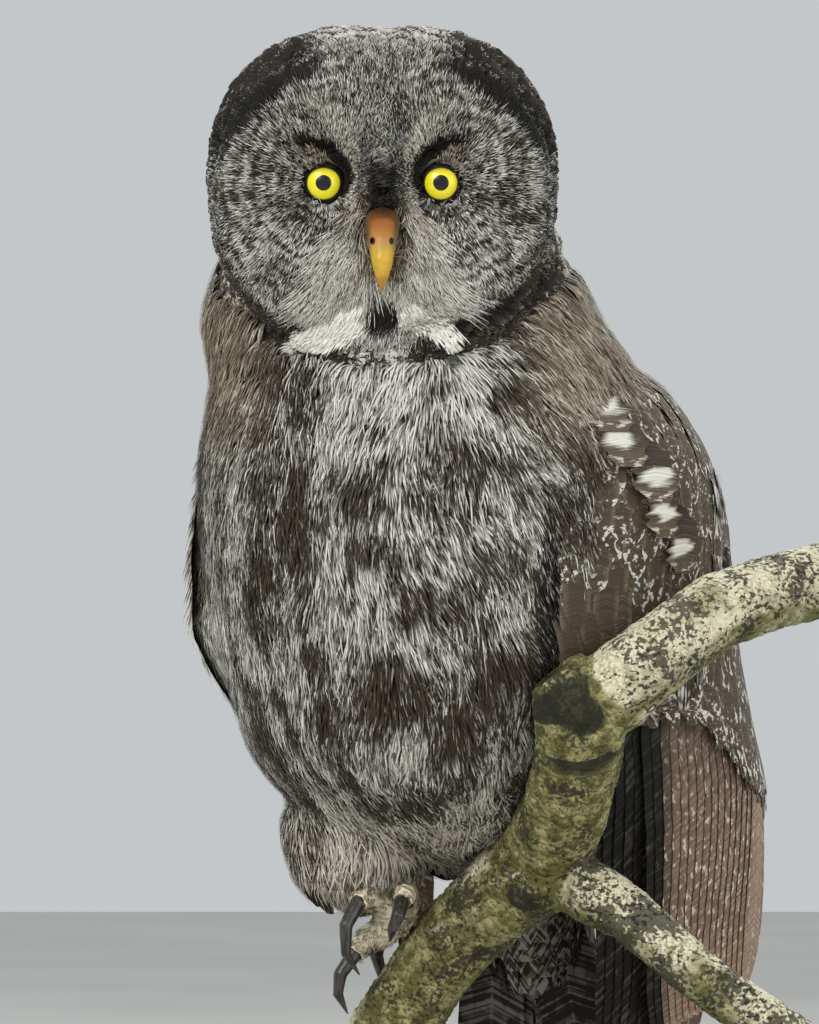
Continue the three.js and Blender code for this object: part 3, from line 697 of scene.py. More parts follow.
def put_feathers(name, patterns, seed, homes, shown, place, colours, turned=False):
    """One mesh of many feathers, each a copy of one of the patterns where place puts it"""
    rng = np.random.default_rng(seed)
    choice = rng.integers(len(patterns), size=len(shown))
    seeds = rng.random(len(shown))
    found = {key: [] for key in ("points", "triangles", "vane", "bake", "which", "along", "across")}
    total = 0
    for kind, (pattern, triangles) in enumerate(patterns):
        which = np.flatnonzero(choice == kind)
        if not len(which):
            continue
        along, across, height = pattern.T
        places = place(which, seeds[which, None], along, across, height)
        corners = triangles[:, ::-1] if turned else triangles
        firsts = total + len(pattern) * np.arange(len(which))[:, None, None]
        patch = BAKE_PATCH * np.stack([across, 2 * along - 1], axis=-1)
        found["points"].append(places.reshape(-1, 3))
        found["triangles"].append((corners[None] + firsts).reshape(-1, 3))
        found["vane"].append(np.tile(np.stack([0.5 + across / 2, along], axis=-1), (len(which), 1)))
        found["bake"].append((homes[which][:, None] + patch[None]).reshape(-1, 2))
        found["which"].append(np.repeat(which, len(along)))
        found["along"].append(np.tile(along, len(which)))
        found["across"].append(np.tile(across, len(which)))
        total += places.shape[0] * places.shape[1]
    found = {key: np.concatenate(value) for key, value in found.items()}
    which = found["which"]
    piece = make_mesh(name, found["points"], found["triangles"])
    store_uv(piece, "Vane", found["vane"])
    store_uv(piece, "OFBake", found["bake"])
    marks = colours(found["points"], shown[which], found["along"], found["across"], seeds[which])
    paint(piece, seed=seeds[which], **marks)
    return piece


def grow(name, patterns, shafts, normals, widths, lift, loft, colours, homes, seed, curl=0.0):
    """A coat piece: one tuft or feather on each shaft, drawn from a few patterns"""
    joints = shafts.shape[1] - 1
    asides = unit(np.cross(unit(np.gradient(shafts, axis=1)), normals))

    def place(which, chance, along, across, height):
        step = np.minimum((along * joints).astype(int), joints - 1)
        share = (along * joints - step)[None, :, None]

        def there(values):
            return values[which][:, step] * (1 - share) + values[which][:, step + 1] * share

        raised = lift(along)[None, :] + loft * height[None, :] + curl * along[None, :] ** 3 * chance
        places = there(shafts) + there(normals) * raised[..., None]
        return places + there(asides) * (across[None, :] * widths[which, None] / 2)[..., None]

    shown = shafts[:, int(0.6 * joints + 0.5)]
    return put_feathers(name, patterns, seed, homes, shown, place, colours)


def grow_on(skin, name, patterns, laid, widths, lift, loft, marks, unwrap, seed, material, slot, curl=0.0):
    """A finished coat piece on a skin, from its roots, their normals, its flow, its lengths and its joints"""
    shafts, normals = skin.lay(*laid)
    piece = grow(name, patterns, shafts, normals, widths, lift, loft, marks, unwrap(laid[0]), seed, curl)
    return finish_piece(piece, material, slot)


def wrapped(points):
    """Places of points on an unwrap of the body: round it, and up it"""
    middle = on_body(0, 0, 0)
    angle = np.arctan2(points[:, 1] - middle[1], points[:, 0] - middle[0])
    return np.stack([0.5 + angle / (2 * np.pi) * 0.98, 0.02 + 0.96 * points[:, 2] / 0.7], axis=-1)


def wrapped_head(points):
    """Places of points on an unwrap of the head: its distance and way round from the face's middle"""
    away = unit(points - HEAD)
    angle = np.arccos(np.clip(-away[:, 1], -1, 1)) / np.pi
    ring = unit(away[:, [0, 2]])
    return 0.5 + 0.49 * angle[:, None] * ring


# Markings, the same on skin and coat


def on_face(points):
    """Across, up and forward from the head's middle, and the way out from the middle of the disc"""
    across, up = points[:, 0] - HEAD[0], points[:, 2] - HEAD[2]
    forward = HEAD[1] - points[:, 1]
    wide = np.abs(across / DISC_HALF_WIDTH) ** DISC_ROUNDNESS
    tall = np.abs((up + DISC_DROP) / DISC_HALF_HEIGHT) ** DISC_ROUNDNESS
    ring = (wide + tall) ** (1 / DISC_ROUNDNESS)
    return across, up, forward, ring


def mix3(first, second, share):
    """One colour between two"""
    return tuple(a * (1 - share) + b * share for a, b in zip(first, second))


def mixed(first, second, share):
    """A colour between two for each point"""
    share = share[:, None]
    return np.asarray(first) * (1 - share) + np.asarray(second) * share


def spread_marks(points, **values):
    """A mark's colours and numbers, each given for every point"""
    count = len(points)
    marks = {}
    for key, value in values.items():
        shape = (count, 3) if key in ("pale", "dark") else (count,)
        marks[key] = np.array(np.broadcast_to(np.asarray(value, float), shape))
    return marks


def face_marks(points, roots, along, across_tuft, seeds):
    """Disc, brow, beard, chin spot, bow tie and dark rim"""
    tones = looks()
    across, up, forward, ring = on_face(roots)
    pale = mix3(tones.grey_plume, tones.white_plume, 0.6)
    dark = mix3(tones.brown_plume, tones.black_plume, 0.45)
    patches = mottle(roots, (9 * MM,) * 3, 5)
    marking = 0.74 + 0.6 * (patches - 0.5) + 0.8 * (seeds - 0.5) - 0.25 * blend_in(along, 0.75, 1)
    inner = EYE_ASIDE - np.abs(across)
    above = up - EYE_UP
    away = np.hypot(inner, above)
    barring = blend_in(away, 12 * MM, 20 * MM) * blend_in(np.abs(across), 6 * MM, 18 * MM)
    barring *= 0.35 + 0.65 * blend_in(ring - 0.25 * up / (80 * MM), 0.35, 0.85)
    shift = 1.5 * mottle(roots, (17 * MM,) * 3, 7)
    waves = np.sin(2 * np.pi * (away / RING_STEP + shift + 0.3 * (seeds - 0.5)))
    marking += 0.26 * waves * barring * blend_in(mottle(roots, (12 * MM,) * 3, 8), 0.2, 0.7)

    def put(share, pale_colour, dark_colour, level, keep=0.5):
        nonlocal pale, dark, marking, barring
        pale = mixed(pale, pale_colour, share)
        dark = mixed(dark, dark_colour, share)
        marking = marking * (1 - share) + (level + keep * 0.6 * (seeds - 0.5)) * share
        barring = barring * (1 - share)

    # Dark wedge of the forehead, and pale streaks from the brow down beside it
    narrow = 6 * MM + 0.2 * np.maximum(up, 0)
    wedge = 1 - blend_in(np.abs(across), 0.6 * narrow, 1.4 * narrow)
    fading = 0.75 - 0.6 * blend_in(up, 6 * MM, 50 * MM)
    put(wedge * blend_in(up, -16 * MM, -4 * MM) * fading, tones.grey_plume, tones.black_plume, 0.8)
    high = np.maximum(up, 0)
    streak = np.abs(np.abs(across) - 13 * MM - high**2 / (77 * MM)) / (5 * MM + 0.16 * high)
    brow = (1 - blend_in(streak, 0.3, 1.1)) * blend_in(up, -36 * MM, -14 * MM)
    brow *= 1 - blend_in(up, 28 * MM, 46 * MM)
    warm_brown = mix3(tones.brown_plume, tones.buff_plume, 0.25)
    put(0.8 * brow, mix3(tones.white_plume, tones.buff_plume, 0.3), warm_brown, 0.3)
    # Bristly beard that fans out from the bill
    low = -up - 22 * MM
    beard = 1 - blend_in(np.abs(across), 10 * MM + 0.5 * low, 17 * MM + 0.62 * low)
    beard *= blend_in(low, 0, 18 * MM)
    soft_brown = mix3(tones.brown_plume, tones.grey_plume, 0.12)
    put(0.9 * beard, mix3(tones.white_plume, tones.grey_plume, 0.3), soft_brown, 0.62, 0.9)
    beside = 1 - blend_in(np.abs(across), 8 * MM, 15 * MM)
    lores = beside * blend_in(-up, 8 * MM, 16 * MM) * (1 - blend_in(-up, 42 * MM, 58 * MM))
    put(0.85 * lores, tones.buff_plume, tones.brown_plume, 0.95)
    # Black brow that arcs over the eye from outside down its inner side, with a brown patch under it
    turn = np.degrees(np.arctan2(above - 3 * MM, inner + 4 * MM))
    arc = np.hypot(inner + 4 * MM, above - 3 * MM) - 16 * MM - 4.5 * MM * blend_in(turn, 60, 120)
    half = 3.7 * MM * (1 - 0.6 * blend_in(np.abs(turn - 34), 25, 95))
    black = (1 - blend_in(np.abs(arc), 0.6 * half, 1.4 * half)) * (1 - blend_in(np.abs(turn - 42), 72, 92))
    lid_shade = 1 - blend_in(away, 10 * MM, 11.5 * MM)
    patch = (1 - blend_in(np.hypot(inner + 4 * MM, above - 12 * MM), 7 * MM, 11 * MM)) * (arc < 0)
    put(0.85 * patch, mix3(tones.buff_plume, tones.grey_plume, 0.4), tones.brown_plume, 0.62)
    put(np.maximum(black, 0.8 * lid_shade), tones.brown_plume, tones.black_plume, 1.35, 0.3)
    bridge = 1 - blend_in(np.abs(across), 3 * MM, 7.5 * MM)
    bridge *= 1 - blend_in(np.abs(up + 6 * MM), 8 * MM, 16 * MM)
    put(0.85 * bridge, tones.brown_plume, tones.black_plume, 1.0)
    # Rim: broad at the upper sides, thin and broken beside the eyes, broad and brown below
    rim_pale = mix3(tones.brown_plume, tones.grey_plume, 0.5)
    put(dark_rim(across, up, ring), rim_pale, tones.black_plume, 1.3, 0.4)
    put(bow_tie(across, up), tones.white_plume, tones.buff_plume, 0.0, 0.4)
    chin = 1 - blend_in(np.hypot(across / 9.5, (up + 71 * MM) / 9) / MM, 0.75, 1.25)
    put(chin, tones.brown_plume, tones.black_plume, 1.15)
    return spread_marks(points, pale=pale, dark=dark, marking=marking, barring=0.4 * barring)


def wisp_marks(points, roots, along, across_tuft, seeds):
    """The disc's loose barbs: as the face, but paler towards their tips"""
    marks = face_marks(points, roots, along, across_tuft, seeds)
    marks["marking"] -= 0.38 * blend_in(along, 0.2, 0.8) * (1 - blend_in(marks["marking"], 0.75, 1.05))
    return marks


def bow_tie(across, up):
    """1 on the two white patches under the chin"""
    outward = np.abs(across) - 7 * MM
    left = across > 0
    share = outward / np.where(left, 28 * MM, 37 * MM)
    height = np.where(left, -66 * MM - 0.62 * outward, -71 * MM - 0.32 * outward)
    half = (9.5 - 5.5 * np.clip(share, 0, 1)) * MM
    inside = 1 - blend_in(np.abs(up - height) / half, 0.7, 1.2)
    return inside * blend_in(share, -0.06, 0.06) * (1 - blend_in(share, 0.9, 1.05))


def in_body(points):
    """Left, forward and up of the turned body"""
    x, y = points[:, 0] - BODY_X, points[:, 1]
    left = np.cos(BODY_TURN) * x - np.sin(BODY_TURN) * y
    forward = -np.sin(BODY_TURN) * x - np.cos(BODY_TURN) * y
    return left, forward, points[:, 2]


def drift(points):
    """How far the feathers lean towards the owl's left for each unit down"""
    return 0.65 * blend_in(points[:, 0], -90 * MM, 30 * MM) * (1 - blend_in(points[:, 1], -20 * MM, 20 * MM))


def feather_cells(points, wide, long, seed):
    """Each point's share across and down the large feather that its tuft stands for, and a random value"""
    left, forward, up = in_body(points)
    around = np.arctan2(left, forward) * 105 * MM - drift(points) * (520 * MM - up)
    around = around + 16 * MM * (mottle(points, (34 * MM,) * 3, seed) - 0.5)
    down = 700 * MM - up + 18 * MM * (mottle(points, (28 * MM,) * 3, seed + 1) - 0.5)
    column = np.floor(around / wide)
    row = down / long + (column * 0.618) % 1
    chance = (np.sin(column * 12.9898 + np.floor(row) * 78.233 + seed) * 43758.5453) % 1
    return 2 * (around / wide - column) - 1, row % 1, chance


def body_marks(points, roots, along, across_tuft, seeds):
    """Streaks and pale patches of the breast and belly, bars of the flanks, brown neck and back, and painted
    shade in the hollow beside the left wing
    """
    tones = looks()
    across, up = roots[:, 0], roots[:, 2]
    share, down, chance = feather_cells(points, 25 * MM, 33 * MM, 11)
    blobs = mottle(points, (7 * MM, 9 * MM, 12 * MM), 23)
    wide = mottle(roots, (40 * MM,) * 3, 31)
    streak = 1 - blend_in(np.abs(share + 0.3 * (blobs - 0.5)), 0.22 + 0.2 * chance, 0.5 + 0.25 * chance)
    streak *= 0.45 + 0.55 * blend_in(down, 0.08, 0.3) * (1 - blend_in(down, 0.85, 1))
    bars = 0.5 + 0.5 * np.sin(2 * np.pi * (3.4 * down + chance + 0.35 * np.abs(share)))
    marking = 0.4 + 0.6 * streak + 0.32 * bars * (1 - streak) + 0.6 * (blobs - 0.5)
    marking += 0.4 * (seeds - 0.5) + 0.5 * (wide - 0.5) + 0.4 * (chance - 0.5)
    pale = np.asarray(mix3(tones.grey_plume, tones.white_plume, 0.35))
    throat = (1 - blend_in(np.abs(across + 65 * MM), 26 * MM, 50 * MM)) * blend_in(up, 462 * MM, 505 * MM)
    front = 1 - blend_in(points[:, 1], -40 * MM, 0)
    marking = marking - 0.4 * throat * front
    low = 1 - blend_in(up, 270 * MM, 330 * MM)
    neck = blend_in(np.abs(across + 60 * MM), 48 * MM, 76 * MM) * blend_in(up, 450 * MM, 510 * MM)
    back = blend_in(points[:, 1], -30 * MM, 20 * MM)
    warm = np.maximum(np.maximum(neck, back), 0.5 * low)
    pale = mixed(pale, tones.buff_plume, 0.75 * warm)
    marking = marking * (1 - 0.5 * warm) + 0.42 * warm - 0.24 * neck * (across > -60 * MM)
    marking = marking + 0.5 * neck * (seeds - 0.5) - 0.2 * low
    dark = mixed(tones.brown_plume, mix3(tones.brown_plume, tones.buff_plume, 0.35), neck)
    # Fluffy pale tuft at the edge of the right wing
    fluff = 1 - blend_in(np.hypot((across + 153 * MM) / 17, (up - 376 * MM) / 24) / MM, 0.7, 1.2)
    pale = mixed(pale, tones.white_plume, fluff)
    marking = marking - 0.45 * fluff
    # Painted shade in the hollow between the breast and the front of the left wing
    hollow = np.hypot((points[:, 0] - 17 * MM) / 11, (points[:, 2] - 392 * MM) / 40) / MM
    gap = (1 - blend_in(hollow, 0.7, 1.2)) * (points[:, 1] < 0)
    dark = dark * (1 - 0.8 * gap)[:, None]
    marking = marking * (1 - gap) + 1.1 * gap
    barring = 0.3 + 0.4 * blend_in(np.abs(across + 60 * MM), 40 * MM, 80 * MM) + 0.4 * low
    return spread_marks(points, pale=pale, dark=dark, marking=marking, barring=barring)


def crown_marks(points, roots, along, across_tuft, seeds):
    """Speckled crown and nape"""
    tones = looks()
    blobs = mottle(points, (4 * MM,) * 3, 41)
    patches = mottle(roots, (22 * MM,) * 3, 43)
    pale = mixed(tones.grey_plume, tones.buff_plume, 0.55 * blend_in(patches, 0.3, 0.7))
    dark = np.asarray(mix3(tones.brown_plume, tones.black_plume, 0.3))
    across, up, forward, ring = on_face(roots)
    middle = (1 - blend_in(np.abs(across), 18 * MM, 44 * MM)) * blend_in(up, 50 * MM, 66 * MM)
    marking = 0.24 - 0.3 * middle + 0.75 * blend_in(blobs, 0.38, 0.62) + 0.4 * (seeds - 0.5)
    marking -= 0.35 * blend_in(along, 0.7, 1)
    rim = dark_rim(across, up, ring) * blend_in(forward, -5 * MM, 12 * MM)
    marking = marking * (1 - rim) + rim * (1.3 + 0.3 * (seeds - 0.5) - 0.5 * blend_in(along, 0.8, 1))
    dark = dark * (1 - 0.45 * rim)[:, None]
    return spread_marks(points, pale=pale, dark=dark, marking=marking, barring=0.8 * (1 - rim))


def dark_rim(across, up, ring):
    """1 on the dark rim of the disc: broad at the upper sides, broken beside the eyes, brown below"""
    inside = 0.96 - 0.06 * blend_in(up, 0, 40 * MM) - 0.04 * blend_in(-up, 40 * MM, 60 * MM)
    middle = blend_in(np.abs(across), 22 * MM, 42 * MM)
    inside += 0.2 * (1 - blend_in(np.abs(across), 8 * MM, 24 * MM)) * (up < 0)
    strong = 1 - 0.5 * (1 - blend_in(np.abs(up + 14 * MM), 14 * MM, 36 * MM))
    top = 1 - blend_in(up, 20 * MM, 40 * MM) * (1 - middle)
    return blend_in(ring, inside, inside + 0.05) * (1 - blend_in(ring, 1.12, 1.22)) * top * strong


def leg_marks(points, roots, along, across_tuft, seeds):
    """Buff trousers with soft brown bars"""
    tones = looks()
    bars = mottle(points, (9 * MM, 9 * MM, 5 * MM), 51)
    pale = mix3(tones.grey_plume, tones.buff_plume, 0.6)
    marking = 0.2 + 0.8 * blend_in(bars, 0.4, 0.65) + 0.4 * (seeds - 0.5)
    return spread_marks(points, pale=pale, dark=tones.brown_plume, marking=marking, barring=0.8)


def under_tail_marks(points, roots, along, across_tuft, seeds):
    """Dark soft feathers round the root of the tail, with grey tips"""
    tones = looks()
    pale = mix3(tones.grey_plume, tones.brown_plume, 0.45)
    dark = mix3(tones.brown_plume, tones.black_plume, 0.5)
    marking = 0.85 + 0.4 * (seeds - 0.5) - 0.5 * blend_in(along, 0.7, 1)
    return spread_marks(points, pale=pale, dark=dark, marking=marking, barring=0.6)


def skin_marks(points):
    """Colour under the plumage, with the same markings"""
    zeros = np.zeros(len(points))
    halves = zeros + 0.5
    body = body_marks(points, points, halves, zeros, halves)
    face = face_marks(points, points, halves, zeros, halves)
    crown = crown_marks(points, points, halves, zeros, halves)
    head, front = is_head(points), is_front(points)
    out = {}
    for key in ("pale", "dark", "marking", "barring"):
        face_share, head_share = head * front, head
        if body[key].ndim == 2:
            face_share, head_share = face_share[:, None], head_share[:, None]
        inner = face[key] * face_share + crown[key] * (1 - face_share)
        out[key] = inner * head_share + body[key] * (1 - head_share)
    return out


def is_head(points):
    """1 on the head and 0 off it"""
    across, up, forward, ring = on_face(points)
    away = np.linalg.norm((points - HEAD) / (np.array([90, 80, 88]) * MM), axis=1)
    skull = (away < 1.06) & (up + 0.35 * np.minimum(forward, 12 * MM) + 58 * MM > 0)
    face = (ring < 1.05) & (forward > 12 * MM) & (up > -88 * MM)
    return (skull | face).astype(float)


def is_front(points):
    """1 on the face and 0 off it"""
    across, up, forward, ring = on_face(points)
    return ((forward > 22 * MM) & (ring < 1.0)).astype(float)


# Operators


class OWL_OT_set_stage(bpy.types.Operator):
    """Sets the floor, the soft lights and the camera"""

    bl_idname = "owl.set_stage"
    bl_label = "Set the stage"

    def execute(self, context):
        camera = bpy.data.objects.new("camera", bpy.data.cameras.new("camera"))
        context.scene.collection.objects.link(camera)
        camera.location = Vector(CAMERA_AIM) + Vector((0, -CAMERA_AWAY, 0))
        camera.rotation_euler = (np.pi / 2, 0, 0)
        camera.data.sensor_width = SENSOR_WIDTH
        camera.data.lens = SENSOR_WIDTH * (CAMERA_AWAY - VIEW_AHEAD) / VIEW_WIDTH
        context.scene.camera = camera
        bpy.ops.mesh.primitive_plane_add(size=12, location=(0, 0, 0))
        floor = context.active_object
        floor.name = "floor"
        material, kit, shader = new_material("pale_floor")
        place = kit.place()
        tone = kit.ramp(kit.noise(place, 3.0), 0.3, 0.7)
        grey = kit.mix(tone, srgb(205, 205, 200), srgb(212, 212, 207))
        set_shader(kit, shader, Base_Color=grey, Roughness=0.9)
        floor.data.materials.append(material)
        for name, place, size, power in (
            ("key_light", (-1.6, -2.4, 2.6), 1.6, 62),
            ("fill_light", (2.4, -2.2, 1.2), 2.0, 24),
            ("back_light", (0.8, 2.2, 2.2), 1.6, 46),
        ):
            light = bpy.data.lights.new(name, "AREA")
            light.shape = "SQUARE"
            light.size = size
            light.energy = power
            lamp = bpy.data.objects.new(name, light)
            context.scene.collection.objects.link(lamp)
            lamp.location = place
            toward = Vector(LIGHT_AIM) - Vector(place)
            lamp.rotation_euler = toward.to_track_quat("-Z", "Y").to_euler()
        world = bpy.data.worlds.new("soft_sky")
        world.use_nodes = True
        world.node_tree.nodes["Background"].inputs["Color"].default_value = (*srgb(222, 226, 228), 1)
        world.node_tree.nodes["Background"].inputs["Strength"].default_value = 0.75
        context.scene.world = world
        context.scene.view_settings.view_transform = "Standard"
        return {"FINISHED"}


# Wings: rows of height, front edge left and forward, rear edge left and forward, and bulge, in millimetres

LEFT_WING = [
    [524, 56, 36, 34, -60, 30],
    [500, 86, 58, 60, -86, 34],
    [470, 102, 66, 80, -100, 34],
    [436, 105, 76, 94, -108, 33],
    [400, 101, 80, 100, -110, 31],
    [371, 99, 72, 106, -110, 29],
    [330, 97, 46, 115, -111, 25],
    [294, 94, 20, 122, -112, 20],
    [216, 84, -14, 118, -110, 11],
    [150, 70, -44, 98, -110, 6],
    [84, 58, -72, 74, -108, 3],
]
RIGHT_WING = [
    [524, 66, 40, 34, -60, 30],
    [500, 90, 60, 50, -84, 36],
    [470, 107, 64, 60, -100, 38],
    [436, 118, 58, 66, -109, 38],
    [400, 122, 52, 69, -112, 36],
    [371, 122, 43, 70, -112, 34],
    [314, 107, -8, 72, -112, 26],
    [270, 90, -40, 74, -112, 17],
    [221, 74, -72, 77, -112, 7],
    [150, 73, -84, 80, -112, 4],
    [84, 77, -90, 83, -110, 3],
]
WINGS = {"left": (1, LEFT_WING), "right": (-1, RIGHT_WING)}


def on_wing(wing, across, height, lift):
    """Places on a wing's sheet, from its share across, its height and its lift off the sheet"""
    side, rows = WINGS[wing]
    across, height, lift = np.broadcast_arrays(across, height, lift)
    row = between(rows, height)
    sideways, ahead = row[..., 3] - row[..., 1], row[..., 4] - row[..., 2]
    length = np.hypot(sideways, ahead)
    out = row[..., 5] * 4 * across * (1 - across) + lift
    left = row[..., 1] + sideways * across - ahead / length * out
    forward = row[..., 2] + ahead * across + sideways / length * out
    return on_body(side * left * MM, forward * MM, height * MM)


def under_coverts(points, facing):
    """1 where a wing's own coverts grow: the right wing's outer side, and both sides of the left wing"""
    covered = np.zeros(len(points), bool)
    left, forward, up = in_body(points)
    face_left = np.cos(BODY_TURN) * facing[:, 0] - np.sin(BODY_TURN) * facing[:, 1]
    face_forward = -np.sin(BODY_TURN) * facing[:, 0] - np.cos(BODY_TURN) * facing[:, 1]
    for side, rows in WINGS.values():
        row = between(rows, np.clip(up / MM, rows[-1][0], rows[0][0])) * MM
        sideways, ahead = row[:, 3] - row[:, 1], row[:, 4] - row[:, 2]
        length = np.hypot(sideways, ahead)
        aside, onward = side * left - row[:, 1], forward - row[:, 2]
        across = (aside * sideways + onward * ahead) / length**2
        out = (onward * sideways - aside * ahead) / length - row[:, 5] * 4 * across * (1 - across)
        outer = ((face_forward * sideways - side * face_left * ahead) / length > -0.2) | (side > 0)
        over = (across > 0.03) & (across < 0.97) & (up > 330 * MM) & (up < 506 * MM)
        covered |= over & outer & (out > -16 * MM)
    return covered.astype(float)


def wing_feathers(name, wing, patterns, roots, tips, widths, colours, seed, loft=0.8, warp=0.0):
    """A piece of feathers on a wing's sheet, each from a root to a tip given as across, height and lift"""
    side, rows = WINGS[wing]

    def place(which, chance, along, aside, height):
        root, tip = roots[which][:, None], tips[which][:, None]
        line = root + (tip - root) * along[None, :, None]
        line[..., 2] = root[..., 2] + (tip[..., 2] - root[..., 2]) * np.minimum(along * 2.5, 1)[None]
        middle, up, lift = line[..., 0], line[..., 1], line[..., 2]
        row = between(rows, up)
        chord = np.hypot(row[..., 3] - row[..., 1], row[..., 4] - row[..., 2]) + 1.3 * row[..., 5]
        offset = aside[None] * widths[which, None] / 2 / chord
        bend = warp * (chance - 0.5) * along[None] ** 2
        return on_wing(wing, middle + offset + bend, up, lift + loft * height[None])

    homes = np.stack([0.04 + 0.92 * roots[:, 0], 0.04 + 0.92 * roots[:, 1] / WING_SHEET_TOP], axis=-1)
    return put_feathers(name, patterns, seed, homes, roots, place, colours, turned=side > 0)


def covert_marks(points, roots, along, across_tuft, seeds):
    """Dark coverts with pale speckled tips, plain at the front edge of the left wing"""
    tones = looks()
    pale = mix3(tones.grey_plume, tones.white_plume, 0.5)
    dark = mixed(tones.brown_plume, tones.buff_plume, 0.08 + 0.25 * blend_in(np.abs(across_tuft), 0.5, 1.0))
    fleck = 0.15 + 0.85 * blend_in(along, 0.5, 0.85) * (0.4 + 0.6 * np.abs(across_tuft))
    marking = 1.05 + 0.2 * (seeds - 0.5)
    plain = (1 - blend_in(roots[:, 0], 0.14, 0.24)) * (1 - blend_in(roots[:, 1], 415, 435))
    fleck = fleck * (1 - plain * (points[:, 0] > BODY_X))
    return spread_marks(points, pale=pale, dark=dark, marking=marking, fleck=fleck, barring=0.7)


def quill_marks(points, roots, along, across_tuft, seeds):
    """Black primaries, and reddish brown secondaries with darker edges and small buff flecks"""
    tones = looks()
    primary = (1 - blend_in(roots[:, 0], 0.3, 0.36))[:, None]
    warm, deep = np.asarray(srgb(172, 142, 120)), np.asarray(srgb(84, 66, 53))
    pale = mix3(tones.buff_plume, tones.white_plume, 0.4)
    dark = (warm * 0.6 + deep * 0.4) * (1 - primary) + np.asarray(tones.black_plume) * primary
    edge = blend_in(np.abs(across_tuft), 0.55, 1.0)
    marking = 0.95 + 0.1 * (seeds - 0.5)
    dark = dark * (1.1 - 0.4 * edge)[:, None]
    fleck = (0.2 + 0.8 * edge) * (1 - 0.93 * primary[:, 0])
    return spread_marks(points, pale=pale, dark=dark, marking=marking, fleck=fleck, barring=0.4)


